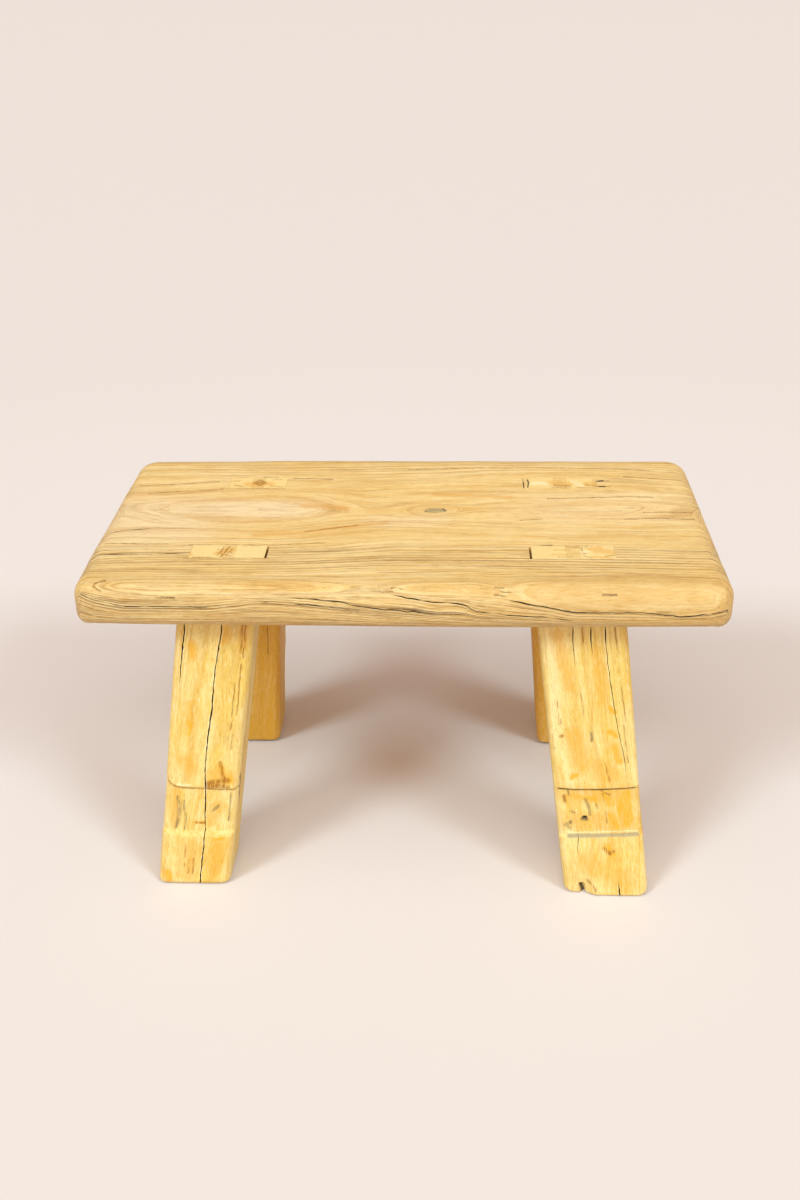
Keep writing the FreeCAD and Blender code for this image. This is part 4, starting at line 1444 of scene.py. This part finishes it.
# Marks on the front of each leg
LEG_MARKS = {
    "front_left": {
        "orange": [
            ([(-13.6, 178), (-12.6, 168)], 4), ([(-11.6, 135), (-11.6, 120)], 4),
            ([(10.4, 36.6), (17.4, 36.8)], 1.6), ([(-19.6, 10), (-17.6, 4)], 4),
            ([(8.4, 186), (7.4, 180)], 4), ([(-12, 96), (-8, 88)], 7), ([(8, 86), (17, 82)], 7),
            ([(-18, 70), (-16, 50)], 6), ([(-4, 30), (-4, 10)], 9), ([(14, 32), (15, 12)], 7),
            ([(12, 60), (8, 48)], 6), ([(18, 200), (18, 176)], 4),
        ],
        "amber": [
            ([(-13.4, 178), (-12.4, 170)], 2.8), ([(5.0, 78.0), (17.0, 80.6)], 4.0),
            ([(11.4, 92), (14.0, 84)], 2.6), ([(-12.0, 122), (-11.6, 114)], 2.2),
            ([(-18.6, 10), (-17.4, 5)], 2.6), ([(11.0, 36.6), (17.0, 36.8)], 1.2),
            ([(-3.0, 47.4), (3.0, 47.0)], 1.8),
        ],
        "brown": [
            ([(4.6, 78.2), (10, 79.5), (16.4, 80.5)], 2.6), ([(7.4, 76.6), (15.4, 76.6)], 1.8),
            ([(10.9, 94), (12.9, 86)], 1.3), ([(13, 86), (15.6, 79)], 1.6), ([(2, 76), (18, 75.4)], 1.2),
            ([(17.6, 196), (18.0, 172)], 0.9), ([(19.6, 190), (19.9, 168)], 0.6),
            ([(19.2, 164), (19.2, 128)], 0.5), ([(16.2, 150), (16.2, 118)], 0.45),
            ([(14.4, 113), (14.2, 103)], 0.5), ([(17.6, 115), (17.6, 104)], 0.5),
            # The stroke along the sole at height 0.1 is a painted contact shadow
            ([(-2.6, 47.2), (2.9, 46.8)], 1), ([(-26, 0.1), (26, 0.1)], 0.8),
            # Painted shadow line under the overhang of the shoulder
            ([(-21.6, 78), (-17.6, 75.2), (-11.6, 74.4), (2.4, 73.9), (12.4, 73.4), (25.4, 73.8)], 1.3),
            ([(-7.6, 31), (-7.0, 12)], 0.4), ([(-5.0, 30), (-4.6, 10)], 0.45),
            ([(-1.6, 28), (-1.2, 8)], 0.4),
        ],
        "grey": [
            ([(-15.6, 67), (-14.6, 63)], 1.3), ([(-14.1, 62), (-13.6, 52), (-15.6, 44)], 1.6),
            ([(-11.1, 64), (-10.6, 57), (-9.1, 50), (-9.6, 42)], 0.9),
            ([(19.4, 70), (19.7, 60), (19.4, 49)], 0.7), ([(8.4, 56), (11.9, 60)], 1.4),
        ],
        # Painted highlight just above the shoulder
        "bleach": [([(-15.6, 77.6), (-7.6, 76.6)], 0.8)],
    },
    "front_right": {
        "orange": [
            ([(17.4, 78), (17.0, 52)], 8), ([(16.4, 66), (16.8, 54)], 5), ([(-16, 186), (-12, 150)], 5),
            ([(12.4, 136), (15.4, 133)], 2.2), ([(11.4, 119), (14.4, 117)], 3),
            ([(13.4, 108), (15.4, 100)], 5), ([(-15.6, 86), (-12.6, 89)], 1.8),
            ([(6.4, 175), (8.4, 140)], 5), ([(-22.6, 92), (-22.1, 86)], 1.6), ([(-20, 74), (20, 72)], 9),
            ([(-20, 54), (20, 52)], 9), ([(-4, 96), (10, 88)], 10), ([(4, 36), (6, 28)], 7),
            ([(-10, 24), (14, 12)], 10), ([(-12, 116), (-8, 96)], 8),
        ],
        "amber": [
            ([(16.6, 72), (17.6, 52)], 3.6), ([(20.6, 76), (20.8, 54)], 1.8),
            ([(13.6, 68), (13.4, 58)], 1.8), ([(12.6, 136), (15.2, 133)], 1.8),
            ([(11.6, 119), (14.2, 117)], 2.4), ([(13.8, 108), (15.2, 98)], 2.8),
            ([(-15.4, 86), (-12.8, 89)], 1.8), ([(2.4, 36), (7.0, 31)], 3.2),
            ([(-20.4, 72), (-18.6, 60)], 1.8), ([(4.0, 74), (9.0, 66)], 3.0),
            ([(-14.0, 72), (-2.0, 70)], 2.4), ([(7.0, 58), (11.0, 50)], 2.8),
        ],
        "brown": [
            # The stroke along the sole at height 0.1 is a painted contact shadow
            ([(-20.1, 116), (-19.1, 116.5)], 1.4), ([(-24, 0.1), (24, 0.1)], 0.8),
            ([(1.4, 35), (4.4, 31), (7.4, 33)], 1.6), ([(21.2, 150), (21.6, 126)], 0.5),
            ([(20.4, 124), (21.4, 98)], 0.45), ([(3.4, 74), (4.4, 52)], 0.5),
            ([(6.4, 98), (8.4, 84)], 0.45), ([(19.7, 198), (19.7, 176)], 0.6),
            ([(-0.3, 198), (-0.4, 180)], 0.6), ([(-5.0, 146), (-4.2, 128)], 0.4),
            ([(-20.6, 140), (-20.4, 124)], 0.4), ([(-11.6, 11), (-8.1, 8), (-6.6, 4)], 1),
            ([(-22.1, 72), (-21.6, 68)], 1.6), ([(-23.6, 134), (-23.6, 131)], 0.5),
            ([(-19.1, 128), (-19.1, 125)], 0.5), ([(2.4, 76.5), (8.4, 73)], 0.7),
        ],
        "grey": [
            ([(-0.8, 119), (-0.6, 113)], 1.2), ([(-18.6, 53), (-22.6, 50.5), (-20.1, 48)], 1.7),
            ([(-0.9, 66), (-0.6, 63)], 0.8), ([(-8.1, 70), (-6.6, 65), (-5.8, 61), (-5.8, 58)], 1.3),
            ([(-18.6, 61), (-15.6, 59.5)], 0.8), ([(-18.6, 77), (-19.1, 73)], 0.9),
            ([(-11.1, 55), (-8.1, 54.5)], 1.7), ([(-24.6, 108), (-24.1, 106)], 0.5),
        ],
        "dust": [([(-21.6, 42.9), (-1.6, 43.2), (13.4, 43.9), (24.4, 45)], 1.1)],
        "black": [
            ([(-9.8, 55.8), (-9.4, 55.8)], 1.9),
            # Painted shadow line under the overhang of the shoulder
            ([(-24.6, 77.6), (-18.6, 77.4), (-1.6, 77.3), (8.4, 77.7), (18.4, 78.2), (24.4, 79)], 1.05),
            ([(-16.6, 7), (-14.8, 0)], 1.6),
        ],
        # Painted highlight on the ledge of the housing
        "bleach": [([(-21.6, 44.9), (-1.6, 45.1), (24.4, 46.7)], 0.6)],
    },
    "rear_left": {
        "brown": [
            ([(-6, 180), (-5, 120)], 0.7), ([(12, 150), (13, 90)], 0.6), ([(-18, 197), (18, 196)], 3.0),
            ([(4, 190), (5, 150)], 0.6),
        ],
        # Painted contact shadow along the sole
        "black": [([(-24, 0.5), (24, 0.5)], 1.2)],
    },
    "rear_right": {
        "brown": [
            ([(-16, 170), (-15, 110)], 0.7), ([(6, 150), (5, 70)], 0.6), ([(-20, 197), (20, 196)], 3.0),
        ],
        # Painted contact shadow along the sole
        "black": [([(-26, 0.5), (26, 0.5)], 1.2)],
    },
}

# Looks: screen colours, the share of cover of each layer, roughness and bump
# In the looks, edge and edge_share give the colour and the cover of the painted shade laid by the edge
# attribute
SEAT_LOOK = dict(
    pale=(237, 206, 140), warm=(231, 192, 118), faded=(240, 217, 176), end=(240, 210, 140),
    streak=(208, 156, 76), streak_share=0.36, light=(244, 222, 168), light_share=0.40,
    line=(148, 94, 28), line_share=0.34, early_share=0.12, hair_share=0.15, fine_share=0.24,
    pore=(164, 112, 44), pore_share=0.28, speck_share=0.26, edge=(168, 120, 46), edge_share=0.46,
    orange=(214, 148, 58), brown=(128, 84, 32), grey=(86, 62, 26), dust=(176, 160, 116), black=(34, 27, 18),
    rough=0.46, bump=0.5)
LEG_LOOK = dict(
    pale=(233, 208, 132), warm=(228, 194, 98), faded=(240, 214, 136), end=(243, 218, 156),
    streak=(212, 157, 42), streak_share=0.45, light=(243, 220, 170), light_share=0.36,
    line=(176, 122, 46), line_share=0.10, early_share=0.05, hair_share=0.10, fine_share=0.26,
    pore=(192, 132, 40), pore_share=0.36, speck_share=0.62, edge=(200, 140, 60), edge_share=0.0,
    orange=(220, 152, 14), amber=(226, 164, 4), brown=(146, 88, 20), bleach=(250, 236, 190),
    grey=(98, 88, 62), dust=(140, 134, 112), black=(30, 22, 14), rough=0.40, bump=0.45)
# Shaded copy of the leg look for the rear legs: deeper, plainer colours as painted shade, and a strong edge
# tone of painted shade on their inner faces
SHADED_REAR_LOOK = dict(
    LEG_LOOK, pale=(234, 198, 104), warm=(227, 182, 80), streak=(210, 154, 56), light_share=0.26,
    fine_share=0.18, speck_share=0.26, edge=(216, 156, 24), edge_share=0.78)
WEDGE_LOOK = dict(
    LEG_LOOK, pale=(238, 208, 140), warm=(231, 195, 120), streak=(204, 154, 84), light=(242, 214, 150),
    light_share=0.4, line=(150, 104, 48), line_share=0.3, hair_share=0.2, fine_share=0.25, pore_share=0.3,
    rough=0.5)

groups = {"figure": figure_group(), "stroke": stroke_group()}
build_seat(wood("seat wood", groups, SEAT_LOOK, SEAT_MARKS))
wedge_wood = wood("wedge wood", groups, WEDGE_LOOK)
for leg_name, leg in LEGS.items():
    # The rear legs take the shaded copy of the leg look: painted shade
    leg_look = LEG_LOOK if leg.side_y < 0 else SHADED_REAR_LOOK
    build_leg(leg, wood("leg wood " + leg_name.replace("_", " "), groups, leg_look))
    build_block("wedge_" + leg_name, leg, leg.wedge_span, WEDGE_BOTTOM, "tenon_wedge_" + leg_name, wedge_wood,
                len(leg_name) + leg.side_x)

# Two slips pack out the rear right mortise
packed = LEGS["rear_right"]
for side, span, seed in (("inner", packed.inner_slip_span, 31), ("outer", packed.outer_slip_span, 37)):
    slip_node = "tenon_slip_" + side + "_rear_right"
    build_block("slip_" + side, packed, span, SEAT_UNDERSIDE, slip_node, wedge_wood, seed)


# Stage: a wide level floor

FLOOR_HALF = 16.0
LIGHT_DISTANCE = 3


def lay_floor(material):
    """Level square sheet under the stool, reaching past the edges of the picture."""
    mesh = bpy.data.meshes.new("floor")
    corners = [(x * FLOOR_HALF, y * FLOOR_HALF, 0.0) for x, y in ((-1, -1), (1, -1), (1, 1), (-1, 1))]
    mesh.from_pydata(corners, [], [(0, 1, 2, 3)])
    mesh.materials.append(material)
    sheet = bpy.data.objects.new("floor", mesh)
    bpy.context.scene.collection.objects.link(sheet)


def axes(right, up, back, place):
    """Matrix with the given axes as columns, at a place."""
    return Matrix([[right[k], up[k], back[k], place[k]] for k in range(3)] + [[0, 0, 0, 1]])


def soft_sun(name, towards, spread, strength, colour):
    """Even soft light from one direction; towards points from the stool to the light, spread in degrees."""
    data = bpy.data.lights.new(name, "SUN")
    data.angle = math.radians(spread)
    data.energy = strength
    data.color = colour
    light = bpy.data.objects.new(name, data)
    bpy.context.scene.collection.objects.link(light)
    away = np.array(towards) / np.linalg.norm(towards)
    right = np.cross((0.0, 0.0, 1.0), away)
    right = right / np.linalg.norm(right)
    light.matrix_world = axes(right, np.cross(away, right), away, LIGHT_DISTANCE * away)


def light_room(colour, strength, backdrop_tone):
    """World light of one colour, shown to the camera as a plain backdrop instead."""
    world = bpy.data.worlds.new("room light")
    bpy.context.scene.world = world
    world.use_nodes = True
    t = Tree(world.node_tree)
    room = world.node_tree.nodes["Background"]
    room.inputs["Color"].default_value = colour
    room.inputs["Strength"].default_value = strength
    backdrop = t.add("ShaderNodeBackground")
    backdrop.inputs["Color"].default_value = backdrop_tone
    seen = t.outputs(t.add("ShaderNodeLightPath"))["Is Camera Ray"]
    shown = [t.outputs(node)["Background"] for node in (room, backdrop)]
    surface = world.node_tree.nodes["World Output"].inputs["Surface"]
    t.feed(surface, t.run("ShaderNodeMixShader", (seen, *shown)))


COOL = (0.84, 1.09, 1.20)
lay_floor(stage_paper(tone(221, 213, 208), tone(218, 209, 204)))
soft_sun("key left", (-0.85, -0.80, 1.0), 16, 1.20, COOL)
soft_sun("key right", (0.95, -0.80, 1.0), 16, 1.02, COOL)
soft_sun("main light", (0.0, -0.65, 1.0), 75, 1.73, (1.0, 0.97, 0.94))
soft_sun("front fill", (0.0, -1.0, 0.3), 40, 0.30, (1.0, 1.0, 1.0))
light_room((1.0, 0.65, 0.47, 1.0), 0.38, tone(243, 231, 221))

# Camera, fitted to the outline of the stool in the photo
CAMERA_PLACE = (0.03116, -0.75593, 0.57589)
CAMERA_RIGHT = (0.999134, 0.038687, -0.015293)
CAMERA_UP = (-0.005027, 0.47721, 0.878775)
CAMERA_BACK = (0.041295, -0.877937, 0.476992)
camera_data = bpy.data.cameras.new("photo view")
camera_data.lens = 37.5
camera_data.sensor_width = 36.0
camera_data.sensor_fit = "AUTO"
camera_data.clip_end = 50.0
camera = bpy.data.objects.new("photo view", camera_data)
camera.matrix_world = axes(CAMERA_RIGHT, CAMERA_UP, CAMERA_BACK, CAMERA_PLACE)
bpy.context.scene.collection.objects.link(camera)
bpy.context.scene.camera = camera
bpy.context.scene.view_settings.view_transform = "Standard"
